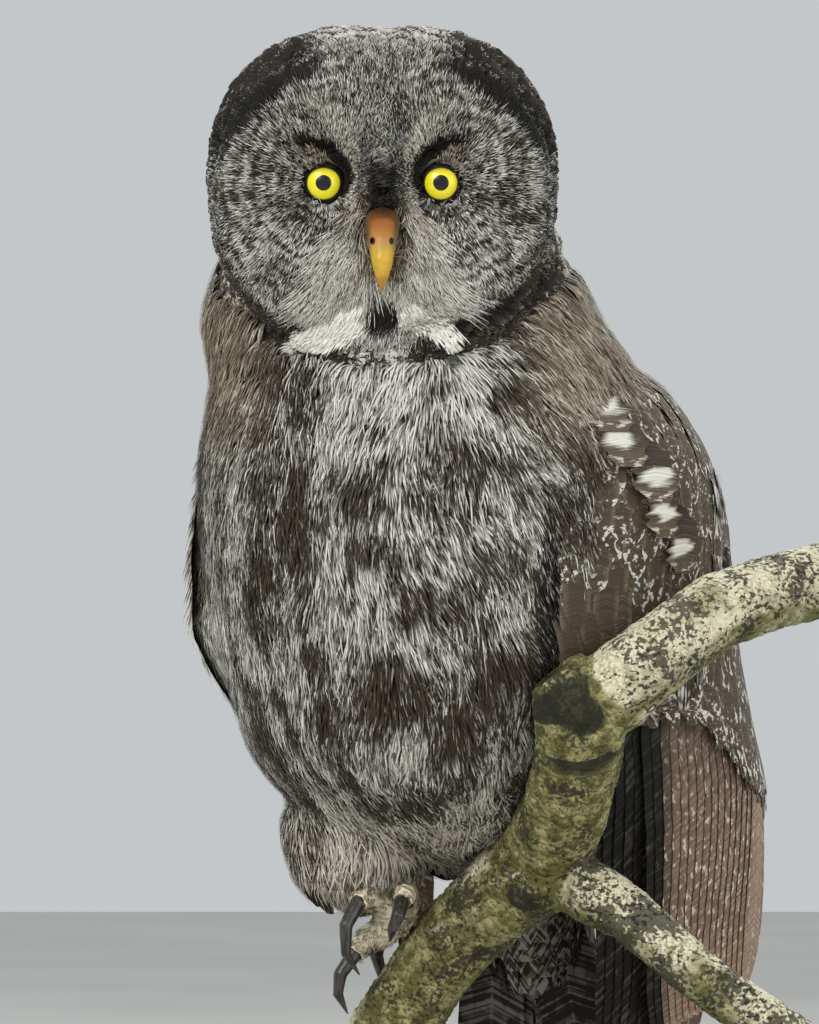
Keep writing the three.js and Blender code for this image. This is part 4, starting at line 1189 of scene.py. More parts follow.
class OWL_OT_grow_wings(bpy.types.Operator):
    """Covers each wing with its coverts and flight feathers"""

    bl_idname = "owl.grow_wings"
    bl_label = "Grow the wings"

    def execute(self, context):
        seed = looks().seed
        coverts = plumage(
            "covert_plumage", barbs=64, flecks=1.8, spread=(4.5, 13, 1), shaft=0.05, depth=0.3, chevron=0.3
        )
        quills = plumage(
            "quill_plumage", barbs=110, bars=0.1, bar_count=7,
            flecks=1.6, spread=(10, 44, 1), shaft=0.25, depth=0.25,
        )
        for wing in WINGS:
            rng = np.random.default_rng(seed)
            soft = [vane_pattern(rng, 9, 0.2, 0.3, WIDE_VANE) for unused in range(6)]
            roots, tips, widths = self.covert_rows(rng)
            name = f"coverts_{wing}"
            piece = wing_feathers(name, wing, soft, roots, tips, widths, covert_marks, seed + 1, 1.2, 0.02)
            finish_piece(piece, coverts, "plumage_wing")
            self.scapulars(wing, coverts, seed + 3)
            long = [vane_pattern(rng, 30, 0.07, 0.25, WIDE_VANE) for unused in range(6)]
            roots, tips, widths = self.quill_rows()
            name = f"quills_{wing}"
            piece = wing_feathers(name, wing, long, roots, tips, widths, quill_marks, seed + 2, 0.7)
            finish_piece(piece, quills, "plumage_wing", f"wing_{wing}")
        self.fringe("right", seed + 4)
        return {"FINISHED"}

    def scapulars(self, wing, material, seed):
        """A diagonal row of broad shoulder feathers, each with a pale patch"""
        count = 6
        patterns = [vane_pattern(np.random.default_rng(seed + k), 16, 0.4, 0.5, WIDE_VANE) for k in range(4)]
        height = np.linspace(512, 424, count)
        across = -0.04 + 0.004 * (512 - height) + np.array([0, 0.02, -0.015, 0.012, -0.02, 0.01])
        roots = np.stack([across - 0.01, height + 20, np.zeros(count)], axis=1)
        tips = np.stack([across + 0.015, height - 14, np.linspace(8, 3.5, count)], axis=1)

        def marks(points, roots, along, aside, seeds):
            tones = looks()
            torn = 0.5 * (mottle(points, (3 * MM,) * 3, 77) - 0.5)
            off = np.hypot((along - 0.62) / 0.14, (aside - 0.25 * (seeds - 0.5)) / 0.52)
            marking = 1.0 - 1.2 * (1 - blend_in(off + torn, 0.75, 1.05))
            pale = mix3(tones.white_plume, tones.buff_plume, 0.12)
            dark = mixed(tones.brown_plume, tones.buff_plume, 0.05 + 0.12 * blend_in(along, 0.68, 0.8))
            fleck = 0.35 * blend_in(along, 0.78, 0.9)
            return spread_marks(points, pale=pale, dark=dark, marking=marking, fleck=fleck, barring=0.0)

        widths = np.array([38.0, 46, 40, 46, 36, 40])
        piece = wing_feathers(f"scapulars_{wing}", wing, patterns, roots, tips, widths, marks, seed, 1.2)
        finish_piece(piece, material, "plumage_wing")

    def fringe(self, wing, seed):
        """Loose flank tufts that bridge from the body to the front edge of a wing"""
        rng = np.random.default_rng(seed)
        locks = [lock_pattern(rng, 8, 0.075, 0.9) for unused in range(6)]
        count, joints = 620, 4
        side = WINGS[wing][0]
        steps = np.linspace(0, 1, joints + 1)
        height = rng.uniform(352, 488, count)[:, None] - rng.uniform(22, 32, count)[:, None] * steps
        share = rng.uniform(-0.1, 1, count)[:, None, None]
        share = share + rng.uniform(-0.1, 0.15, count)[:, None, None] * steps[:, None]
        edge = on_wing(wing, 0.02, height, 0.0)
        body = edge + np.array([-side * 18, -32, 0]) * MM
        shafts = body * (1 - share) + edge * share
        normals = np.broadcast_to(unit(np.array([side * 32.0, -18, 0])), shafts.shape).copy()
        piece = grow(
            f"fringe_{wing}", locks, shafts, normals, np.full(count, 12 * MM),
            lambda along: (-2 + 3 * along) * MM,
            2.0 * MM, body_marks, wrapped(shafts[:, 0]), seed, curl=2 * MM,
        )
        finish_piece(piece, plumage("fringe_plumage", hairs=9.0, bars=0.4, bar_count=4.5), "plumage_wing")

    def covert_end(self, across):
        """Height where the coverts end over the flight feathers"""
        return 344 - 48 * blend_in(across, 0.3, 0.9)

    def covert_rows(self, rng):
        """Rows of coverts that grow from the shoulder down, each row over the next"""
        roots, tips, widths = [], [], []
        for k in range(24):
            across = 0.07 + 0.039 * k
            roots.append((across, 388, -4.5))
            tips.append((across + 0.03, self.covert_end(across) - rng.uniform(2, 12), -1.2 + 0.5 * (k % 2)))
            widths.append(20)
        for row, height in enumerate(np.arange(COVERT_TOP, 338, -COVERT_STEP)):
            share = (COVERT_TOP - height) / 178
            count = int(10 + 14 * min(share * 2, 1))
            length = 24 + 30 * share
            for k in range(count):
                across = (k + 0.5 * (row % 2) + rng.uniform(-0.15, 0.15)) / count
                lean = rng.uniform(-0.015, 0.015)
                lift = -0.5 + rng.uniform(0, 0.6)
                roots.append((across, height, -4.0))
                low = height - length * rng.uniform(0.85, 1.1)
                tips.append((across + lean, max(low, self.covert_end(across) + rng.uniform(-4, 4)), lift))
                widths.append((14 + 6 * share) * rng.uniform(0.9, 1.15))
        return np.array(roots), np.array(tips), np.array(widths)

    def quill_rows(self):
        """Primaries and secondaries, stacked like the CAD vanes"""
        roots, tips, widths = [], [], []
        for k in range(10):
            lift = -1.5 - 1.5 * (9 + 0.7 * (9 - k))
            roots.append((0.12 + 0.023 * k, 376, -7))
            tips.append((0.2 + 0.06 * k, np.interp(k * 0.66, range(7), PRIMARY_TIPS), lift))
            widths.append(26)
        for k in range(16):
            lift = -1 - 1.5 * (8 - 0.52 * k)
            roots.append((0.26 + 0.036 * k, 376, -5))
            tips.append((0.38 + 0.037 * k, 176 + 1.6 * k, lift))
            widths.append(30)
        return np.array(roots, float), np.array(tips, float), np.array(widths, float)


class OWL_OT_build_skin(bpy.types.Operator):
    """Builds one seamless skin inside the coat, and takes the place of the flesh nodes"""

    bl_idname = "owl.build_skin"
    bl_label = "Build the skin"

    def execute(self, context):
        nodes = ("head", "neck", "torso", "leg_left", "leg_right")
        piece = merged_copy(*nodes, name="skin")
        pads = [self.wing_pad(wing) for wing in WINGS]
        only(piece, *pads)
        bpy.ops.object.join()
        piece = remeshed(context.view_layer.objects.active, 3 * MM, 4)
        places, outs = points_of(piece)
        head, front = is_head(places), is_front(places)
        depth = looks().body_coat * (1 - head) + head * (looks().face_coat * front + 5 * MM * (1 - front))
        depth = depth * (1 - 0.6 * blend_in(-places[:, 2], -300 * MM, -270 * MM))
        for eye in EYES.values():
            depth *= 0.15 + 0.85 * blend_in(np.linalg.norm(places - eye, axis=1), 13 * MM, 22 * MM)
        move_points(piece, places - outs * depth[:, None])
        relax = piece.modifiers.new("Relax", "SMOOTH")
        relax.iterations = 3
        apply_all(piece)
        places, outs = points_of(piece)
        marks = skin_marks(places)
        # Painted shade: the skin's pale colour is halved, standing for the shade of the coat over it
        marks["pale"] = marks["pale"] * 0.5
        paint(piece, seed=np.full(len(places), 0.5), **marks)
        store_uv(piece, "Vane", np.full((len(places), 2), 0.5))
        material = plumage("down", barbs=20, rings=6.3 * MM)
        finish_piece(piece, material, "plumage_grey", *nodes)
        return {"FINISHED"}

    def wing_pad(self, wing):
        """The flesh of a folded wing under its coverts"""
        bpy.ops.mesh.primitive_grid_add(x_subdivisions=20, y_subdivisions=18, size=1)
        pad = bpy.context.active_object
        places, unused = points_of(pad)
        across = 0.04 + 0.92 * (places[:, 0] + 0.5)
        height = 334 + 184 * (places[:, 1] + 0.5)
        side = WINGS[wing][0]
        move_points(pad, on_wing(wing, across, height, np.full(len(across), 2.0)))
        if side < 0:
            pad.data.flip_normals()
        wall = pad.modifiers.new("Wall", "SOLIDIFY")
        wall.thickness = 20 * MM
        wall.offset = -1
        apply_all(pad)
        return pad


class OWL_OT_grow_coat(bpy.types.Operator):
    """Covers body, neck and legs with tufts that lie along the skin"""

    bl_idname = "owl.grow_coat"
    bl_label = "Grow the body coat"

    def execute(self, context):
        skin = Skin(bpy.data.objects["skin"])
        rng = np.random.default_rng(looks().seed)
        locks = [lock_pattern(rng, 8, 0.075, 0.9) for unused in range(8)]
        vanes = [vane_pattern(rng, 7, 0.3, 0.35) for unused in range(6)]
        loose = plumage("body_plumage", hairs=9.0, bars=0.4, bar_count=4.5)
        space = looks().tuft_spacing

        def body(points, facing):
            return (1 - is_head(points)) * (points[:, 2] > 0.27) * (1 - under_coverts(points, facing))

        def toward(points, facing):
            return facing[:, 1] < 0.25

        def flow(roots):
            swirl = 0.9 * (mottle(roots, (26 * MM,) * 3, 61) - 0.5)
            loose = rng.uniform(-0.25, 0.25, len(roots))
            return np.stack([drift(roots) - 0.05 + swirl + loose, 0 * loose, -np.ones(len(roots))], axis=1)

        regions = (
            ("coat_belly", lambda p, f: body(p, f) * toward(p, f) * (p[:, 2] < 0.39), locks, space, 27, 13),
            ("coat_breast", lambda p, f: body(p, f) * toward(p, f) * (p[:, 2] >= 0.39), locks, space, 26, 13),
            ("coat_back", lambda p, f: body(p, f) * (1 - toward(p, f)), vanes, 8.5 * MM, 32, 17),
        )
        for seed, (name, keep, patterns, spacing, length, width) in enumerate(regions):
            roots, outs = skin.scatter(keep, spacing, seed + 1)
            spread = rng.uniform(0.8, 1.2, len(roots))
            laid = (roots, outs, flow(roots), length * MM * spread, 4)
            widths = width * MM * rng.uniform(0.85, 1.15, len(roots))
            grow_on(
                skin, name, patterns, laid, widths,
                lambda along: (-1.5 + 9.0 * np.minimum(along * 2.2, 1)) * MM,
                2.2 * MM, body_marks, wrapped, seed, loose, "plumage_grey", curl=2 * MM,
            )
        roots, outs = skin.scatter(lambda p, f: (1 - is_head(p)) * (p[:, 2] < 0.29), 4.5 * MM, 9)
        down = np.tile([0.0, 0.0, -1.0], (len(roots), 1))
        laid = (roots, outs, down, np.full(len(roots), 17 * MM), 3)
        grow_on(
            skin, "coat_legs", locks, laid, np.full(len(roots), 8 * MM), lambda along: (-1 + 4 * along) * MM,
            1.5 * MM, leg_marks, wrapped, 9, loose, "plumage_grey",
        )
        return {"FINISHED"}


class OWL_OT_grow_head(bpy.types.Operator):
    """Covers the head: fine barbs on the disc, a dark rim, bristles round the bill, and a speckled crown"""

    bl_idname = "owl.grow_head"
    bl_label = "Grow the head coat"

    def execute(self, context):
        skin = Skin(bpy.data.objects["skin"])
        rng = np.random.default_rng(looks().seed + 5)
        hairs = [lock_pattern(rng, 5, 0.17, 0.8) for unused in range(8)]
        wisps = [lock_pattern(rng, 3, 0.075, 1.6) for unused in range(8)]
        vanes = [vane_pattern(rng, 7, 0.25, 0.4) for unused in range(6)]
        disc = plumage("disc_plumage", hairs=7.0, rings=RING_STEP)
        crown = plumage("crown_plumage", barbs=12, bars=0.8, bar_count=2.5)

        def clear(points):
            gap = np.ones(len(points))
            for eye in EYES.values():
                away = np.hypot(points[:, 0] - eye[0], points[:, 2] - eye[2])
                gap *= away > 9.9 * MM + 1.2 * MM * mottle(points, (3 * MM,) * 3, 79)
            bill = (np.abs(points[:, 0] - HEAD[0]) < 7 * MM) & (np.abs(points[:, 2] - 0.573) < 12 * MM)
            return gap * ~bill

        def away_from_eyes(roots):
            flow = np.zeros((len(roots), 3))
            for eye in EYES.values():
                out = roots - eye
                out[:, 1] = 0
                reach = np.linalg.norm(out, axis=1, keepdims=True)
                flow += out / np.maximum(reach, 1 * MM) ** 4
            flow = unit(flow)
            bill = roots - np.array([HEAD[0], roots[0, 1], 0.592])
            bill[:, 1] = 0
            near = 1 - blend_in(np.abs(bill[:, 0]) * 1.5 - bill[:, 2] * 0.2, 8 * MM, 40 * MM)
            near *= bill[:, 2] < 0
            return unit(flow + 1.4 * near[:, None] * unit(bill))

        def on_disc(points, facing):
            return is_head(points) * is_front(points) * clear(points)

        def on_crown(points, facing):
            return is_head(points) * (1 - is_front(points))

        regions = (
            ("coat_disc", on_disc, hairs, 2.2 * MM, 7.5, 4.2, 3.4, disc, face_marks),
            ("coat_wisps", on_disc, wisps, 2.9 * MM, 9.5, 4.6, 4.6, disc, wisp_marks),
            ("coat_crown", on_crown, vanes, 4.6 * MM, 14, 8.5, 5.5, crown, crown_marks),
        )
        for seed, (name, keep, patterns, spacing, length, width, top, material, marks) in enumerate(regions):
            roots, outs = skin.scatter(keep, spacing, seed + 31)
            flow = away_from_eyes(roots)
            if name == "coat_crown":
                flow = unit(flow * 0.4 + np.array([0, 1.0, -0.25]))
            lengths = length * MM * rng.uniform(0.8, 1.25, len(roots))
            if name == "coat_wisps":
                flow = unit(flow + rng.normal(0, 0.3, flow.shape) * np.array([1, 0, 1]))
            if name != "coat_crown":
                across, up, forward, ring = on_face(roots)
                lengths *= 1 + 0.7 * (1 - blend_in(np.abs(across), 14 * MM, 34 * MM)) * (up < -14 * MM)
                from_eyes = (np.hypot(roots[:, 0] - eye[0], roots[:, 2] - eye[2]) for eye in EYES.values())
                near_eye = np.minimum(*from_eyes)
                lengths *= 0.6 + 0.4 * blend_in(near_eye, 10 * MM, 20 * MM)
            widths = width * MM * rng.uniform(0.85, 1.15, len(roots))
            grow_on(
                skin, name, patterns, (roots, outs, flow, lengths, 3), widths,
                lambda along: (-0.8 + top * np.minimum(along * 1.8, 1)) * MM,
                0.9 * MM, marks, wrapped_head, seed + 40, material, "plumage_face", curl=1.2 * MM,
            )
        self.ring_rim(skin, rng)
        self.tie_bow(skin, hairs, disc, rng)
        self.set_bristles(skin, disc, rng)
        return {"FINISHED"}

    def set_bristles(self, skin, material, rng):
        """Long thin bristles that sweep from the sides of the bill over the beard"""
        hairs = [lock_pattern(rng, 4, 0.075, 1.5) for unused in range(8)]

        def keep(points, facing):
            across, up, forward, ring = on_face(points)
            low = -up - 4 * MM
            outer = 11 * MM + 0.5 * low
            beside = (np.abs(across) > 6.2 * MM) & (np.abs(across) < outer)
            return is_head(points) * beside * (low > 0) * (low < 58 * MM) * (forward > 20 * MM)

        roots, outs = skin.scatter(keep, 2.4 * MM, 81)
        across, up, forward, ring = on_face(roots)
        spread = 0.04 * across / MM + rng.normal(0, 0.28, len(roots))
        flow = np.stack([spread, 0 * spread, -np.ones(len(roots))], axis=1)
        laid = (roots, outs, flow, 21 * MM * rng.uniform(0.5, 1.25, len(roots)), 5)

        def marks(points, roots, along, across, seeds):
            tones = looks()
            aside, up, forward, ring = on_face(roots)
            brown = (1 - blend_in(np.abs(aside), 10 * MM, 18 * MM)) * blend_in(up, -56 * MM, -30 * MM)
            brown = np.maximum(brown, 0.6 * blend_in(up, -34 * MM, -22 * MM))
            pale = mixed(tones.white_plume, tones.buff_plume, 0.15 + 0.7 * brown)
            dark = mixed(tones.grey_plume, tones.brown_plume, 0.85 + 0.15 * brown)
            level = 0.9 * blend_in(seeds, 0.4, 0.9) + 0.5 * brown - 0.15
            return spread_marks(points, pale=pale, dark=dark, marking=level, barring=0.0)

        grow_on(
            skin, "bristles", hairs, laid, np.full(len(roots), 6 * MM), lambda along: (0.5 + 5 * along) * MM,
            1.2 * MM, marks, wrapped_head, 82, material, "plumage_face", curl=1.5 * MM,
        )

    def tie_bow(self, skin, hairs, material, rng):
        """Two white patches of bristles under the chin"""

        def keep(points, facing):
            across, up, forward, ring = on_face(points)
            near = bow_tie(across, up - 4 * MM) > mottle(points, (3 * MM,) * 3, 73)
            return near * (forward > 8 * MM) * (np.abs(across) > 9 * MM)

        roots, outs = skin.scatter(keep, 2.0 * MM, 71)
        aside = np.sign(roots[:, 0] - HEAD[0])
        flow = np.stack([0.5 * aside, 0 * aside, -np.ones(len(roots))], axis=1)
        laid = (roots, outs, flow, 10 * MM * rng.uniform(0.8, 1.2, len(roots)), 3)

        def marks(points, roots, along, across, seeds):
            level = -0.5 + 0.6 * seeds
            white = srgb(255, 253, 244)
            return spread_marks(points, pale=white, dark=looks().buff_plume, marking=level, barring=0.0)

        grow_on(
            skin, "coat_bow", hairs, laid, np.full(len(roots), 4.2 * MM), lambda along: (1 + 6 * along) * MM,
            0.9 * MM, marks, wrapped_head, 72, material, "plumage_face", curl=1.5 * MM,
        )

    def ring_rim(self, skin, rng):
        """Scalloped dark feathers round the edge of the disc"""
        vanes = [vane_pattern(rng, 7, 0.3, 0.5) for unused in range(6)]
        material = plumage("rim_plumage", barbs=12, bars=0.3, bar_count=2)

        def keep(points, facing):
            across, up, forward, ring = on_face(points)
            return is_head(points) * (np.abs(ring - 0.975) < 0.06) * (forward > 10 * MM)

        roots, outs = skin.scatter(keep, 2.6 * MM, 61)
        flow = roots - (HEAD + np.array([0, 0, -DISC_DROP]))
        flow[:, 1] = 0.25 * np.linalg.norm(flow, axis=1)
        laid = (roots, outs, flow, 10 * MM * rng.uniform(0.8, 1.2, len(roots)), 3)

        def marks(points, roots, along, across, seeds):
            tones = looks()
            across_face, up, forward, ring = on_face(roots)
            strength = dark_rim(across_face, up, np.maximum(ring, 1))
            pale = mix3(tones.grey_plume, tones.brown_plume, 0.2)
            dark = mixed(tones.black_plume, tones.brown_plume, 0.6 * (1 - blend_in(up, -60 * MM, 0)))
            marking = 0.5 + 0.85 * strength + (0.7 - 0.4 * strength) * (seeds - 0.5)
            marking = marking - 0.4 * blend_in(along, 0.8, 1)
            return spread_marks(points, pale=pale, dark=dark, marking=marking, barring=0.5)

        widths = 5 * MM * rng.uniform(0.85, 1.15, len(roots))
        grow_on(
            skin, "coat_rim", vanes, laid, widths, lambda along: (-0.8 + 5.0 * along) * MM,
            0.9 * MM, marks, wrapped_head, 62, material, "plumage_face", curl=2 * MM,
        )


class OWL_OT_set_eyes(bpy.types.Operator):
    """Makes the eyes and their dark lids"""

    bl_idname = "owl.set_eyes"
    bl_label = "Set the eyes"

    def execute(self, context):
        for side, name in ((-1, "right"), (1, "left")):
            centre = EYES[side]
            bpy.ops.mesh.primitive_uv_sphere_add(
                segments=48, ring_count=32, radius=EYE_RADIUS, location=centre, rotation=(np.pi / 2, 0, 0)
            )
            eye = context.active_object
            eye.name = f"eyeball_{name}"
            bpy.ops.object.transform_apply(location=True, rotation=True, scale=True)
            bpy.ops.object.shade_smooth()
            finish_piece(eye, self.eye_material(name, centre), "iris", f"eye_{name}")
            finish_piece(self.lid(name, centre), self.lid_material(), "plumage_face")
        return {"FINISHED"}

    def eye_material(self, name, centre):
        """Yellow iris with fine streaks and painted shade under the lid, black pupil and a wet gloss"""
        material, kit, shader = new_material(f"eye_{name}")
        place = kit.place()
        place = kit.vector("SUBTRACT", place, tuple(centre))
        flat = kit.vector("MULTIPLY", place, (1, 0, 1))
        away = kit.vector("LENGTH", flat)
        parts = kit.parts(place)
        turn = kit.math("ARCTAN2", parts[2], parts[0])
        spokes = kit.joined(X=kit.times(turn, 9.0), Y=kit.times(away, 160.0))
        streak = kit.noise(spokes, 1.6, 3.0)
        yellow = looks().iris_colour
        deep = srgb(196, 158, 24)
        colour = kit.mix(kit.ramp(streak, 0.4, 0.85), yellow, mix3(yellow, deep, 0.3))
        # Painted shade: the upper part of the iris is darkened, where the lid and brow shade it
        upper = kit.ramp(parts[2], 3.5 * MM, 8 * MM)
        colour = kit.mix(kit.times(upper, 0.55), colour, srgb(120, 112, 30))
        iris_edge, pupil_edge = looks().iris_width / 2, looks().pupil_width / 2
        rim = kit.ramp(away, iris_edge - 0.9 * MM, iris_edge + 0.1 * MM)
        colour = kit.mix(rim, colour, srgb(18, 15, 10))
        pupil = kit.ramp(away, pupil_edge - 0.15 * MM, pupil_edge + 0.15 * MM, 1.0, 0.0)
        colour = kit.mix(pupil, colour, srgb(6, 6, 6))
        set_shader(kit, shader, Base_Color=colour, Roughness=0.25, Coat_Weight=0.12, Coat_Roughness=0.02)
        return material

    def lid(self, name, centre):
        """A round lid that hugs the ball from the edge of the iris to the socket"""
        bpy.ops.mesh.primitive_torus_add(
            major_radius=LID_RADIUS, minor_radius=LID_THICKNESS, major_segments=56, minor_segments=12,
            location=centre, rotation=(np.pi / 2, 0, 0),
        )
        lid = bpy.context.active_object
        lid.name = f"lid_{name}"
        bpy.ops.object.transform_apply(location=True, rotation=True, scale=True)
        places, outs = points_of(lid)
        across, up = places[:, 0] - centre[0], places[:, 2] - centre[2]
        away = np.hypot(across, up)
        radial = away - LID_RADIUS
        reach = np.where(radial > 0, 1 + 0.9 * radial / LID_THICKNESS, 1.0)
        new = LID_RADIUS + radial * reach
        drop = 1 - 0.09 * blend_in(up, 2 * MM, 9 * MM) * (radial < 0.4 * MM)
        new = new * drop
        base = np.sqrt(np.maximum((EYE_RADIUS + 0.3 * MM) ** 2 - new**2, (2 * MM) ** 2))
        depth = base + LID_THICKNESS * (places[:, 1] < centre[1]) - 0.6 * MM
        places[:, 0] = centre[0] + across / away * new
        places[:, 2] = centre[2] + up / away * new
        places[:, 1] = centre[1] - depth
        move_points(lid, places)
        bpy.ops.object.mode_set(mode="EDIT")
        bpy.ops.mesh.select_all(action="SELECT")
        bpy.ops.mesh.normals_make_consistent(inside=False)
        bpy.ops.object.mode_set(mode="OBJECT")
        bpy.ops.object.shade_smooth()
        return lid

    def lid_material(self):
        """Black wrinkled skin"""
        if "lid_skin" in bpy.data.materials:
            return bpy.data.materials["lid_skin"]
        material, kit, shader = new_material("lid_skin")
        place = kit.place()
        fold = kit.noise(place, 900.0, 3.0)
        bump = kit.bump(fold, 0.5, 0.3 * MM)
        black = kit.mix(kit.ramp(fold, 0.3, 0.7), srgb(16, 14, 11), srgb(44, 39, 32))
        set_shader(kit, shader, Base_Color=black, Roughness=0.5, Normal=bump)
        return material


class OWL_OT_shape_bill(bpy.types.Operator):
    """Smooths the bill and claws and gives them horn"""

    bl_idname = "owl.shape_bill"
    bl_label = "Shape the bill and claws"

    def execute(self, context):
        horn = self.bill_material()
        for node in ("bill_upper", "bill_lower"):
            piece = remeshed(merged_copy(node, name=f"horn_{node}"), 0.7 * MM, 3)
            finish_piece(piece, horn, "bill_horn", node)
        claw_horn = self.claw_material()
        for side in ("left", "right"):
            nodes = [f"claw_{side}_{k}" for k in range(1, 5)]
            piece = remeshed(merged_copy(*nodes, name=f"talons_{side}"), 0.6 * MM, 4)
            finish_piece(piece, claw_horn, "black_horn", *nodes)
        return {"FINISHED"}

    def bill_material(self):
        """Ochre cere with painted shade in the nostrils, and a yellow bill with a green tinge and an ochre
        tip
        """
        material, kit, shader = new_material("bill_horn")
        place = kit.place()
        parts = kit.parts(place)
        cloud = kit.noise(place, 160.0, 3.0)
        height = kit.plus(parts[2], kit.times(kit.minus(cloud, 0.5), 6 * MM))
        colour = kit.mix(kit.ramp(height, 549 * MM, 562 * MM), srgb(184, 120, 30), srgb(214, 172, 46))
        colour = kit.mix(kit.times(kit.ramp(cloud, 0.5, 0.7), 0.5), colour, srgb(150, 138, 62))
        colour = kit.mix(kit.ramp(height, 565 * MM, 575 * MM), colour, srgb(188, 134, 66))
        colour = kit.mix(kit.ramp(height, 573 * MM, 582 * MM), colour, srgb(164, 96, 30))
        colour = kit.mix(kit.ramp(height, 580 * MM, 590 * MM), colour, srgb(64, 42, 22))
        edge = kit.math("ABSOLUTE", kit.minus(parts[0], HEAD[0]))
        side_shade = kit.times(kit.ramp(edge, 4 * MM, 8 * MM), kit.ramp(height, 556 * MM, 570 * MM))
        colour = kit.mix(side_shade, colour, srgb(92, 70, 34))
        # Painted shade: each nostril is a dark spot that stands for the shade inside its opening
        slit = kit.vector("SUBTRACT", kit.joined(X=edge, Z=parts[2]), (NOSTRIL_ASIDE, 0, NOSTRIL_UP))
        slit = kit.vector("LENGTH", kit.vector("MULTIPLY", slit, (1.0, 0, 0.65)))
        colour = kit.mix(kit.ramp(slit, 0.8 * MM, 1.6 * MM, 1.0, 0.0), colour, srgb(14, 10, 7))
        grain = kit.noise(place, 1200.0, 2.0)
        bump = kit.bump(grain, 0.15, 0.2 * MM)
        set_shader(kit, shader, Base_Color=colour, Roughness=kit.ramp(cloud, 0.2, 0.8, 0.3, 0.5), Normal=bump)
        return material

    def claw_material(self):
        """Glossy slate black horn with fine lines along it"""
        material, kit, shader = new_material("black_horn")
        place = kit.place()
        lines = kit.noise(kit.vector("MULTIPLY", place, (900, 900, 160)), 1.0, 2.0)
        colour = kit.mix(kit.ramp(lines, 0.35, 0.7), srgb(30, 27, 24), srgb(72, 66, 58))
        bump = kit.bump(lines, 0.2, 0.2 * MM)
        set_shader(kit, shader, Base_Color=colour, Roughness=0.32, Normal=bump)
        return material


class OWL_OT_grow_feet(bpy.types.Operator):
    """Furs the toes"""

    bl_idname = "owl.grow_feet"
    bl_label = "Grow the feet"

    def execute(self, context):
        rng = np.random.default_rng(looks().seed + 9)
        hairs = [lock_pattern(rng, 5, 0.13, 0.7) for unused in range(6)]
        material = plumage("toe_plumage", barbs=8, bars=0.4, bar_count=2)

        def marks(points, roots, along, across, seeds):
            tones = looks()
            dark = mix3(tones.brown_plume, tones.buff_plume, 0.15)
            patches = mottle(points, (5 * MM,) * 3, 71)
            marking = 0.1 + 0.75 * blend_in(patches, 0.35, 0.65) + 0.5 * (seeds - 0.5)
            return spread_marks(points, pale=srgb(240, 228, 200), dark=dark, marking=marking, barring=0.6)

        for side in ("left", "right"):
            node = f"foot_{side}"
            flesh = remeshed(merged_copy(node, name=f"toes_{side}"), 1.5 * MM, 2)
            places, outs = points_of(flesh)
            move_points(flesh, places - outs * 1.5 * MM)
            places, outs = points_of(flesh)
            halves = np.full(len(places), 0.5)
            paint(flesh, seed=halves, **marks(places, places, halves, halves, halves))
            store_uv(flesh, "Vane", np.full((len(places), 2), 0.5))
            finish_piece(flesh, material, "furry_toes", node)
            skin = Skin(flesh)
            roots, outs = skin.scatter(lambda p, f: np.ones(len(p)), 2.6 * MM, 81)
            middle = (places.min(axis=0) + places.max(axis=0)) / 2 + np.array([0, 0.01, 0.01])
            flow = unit(roots - middle) + np.array([0, 0, -0.7])
            shafts, normals = skin.lay(roots, outs, flow, 6.5 * MM * rng.uniform(0.8, 1.2, len(roots)), 3)
            low, high = places.min(axis=0), places.max(axis=0)
            spots = 0.05 + 0.9 * (roots - low)[:, [0, 2]] / (high - low)[[0, 2]]
            spots[:, 0] = np.where(roots[:, 1] < middle[1], spots[:, 0] / 2, 0.5 + spots[:, 0] / 2)
            piece = grow(
                f"fur_{side}", hairs, shafts, normals, np.full(len(roots), 3.6 * MM),
                lambda along: (-0.4 + 2.0 * along) * MM, 0.8 * MM, marks, spots, 82,
            )
            finish_piece(piece, material, "furry_toes")
        return {"FINISHED"}


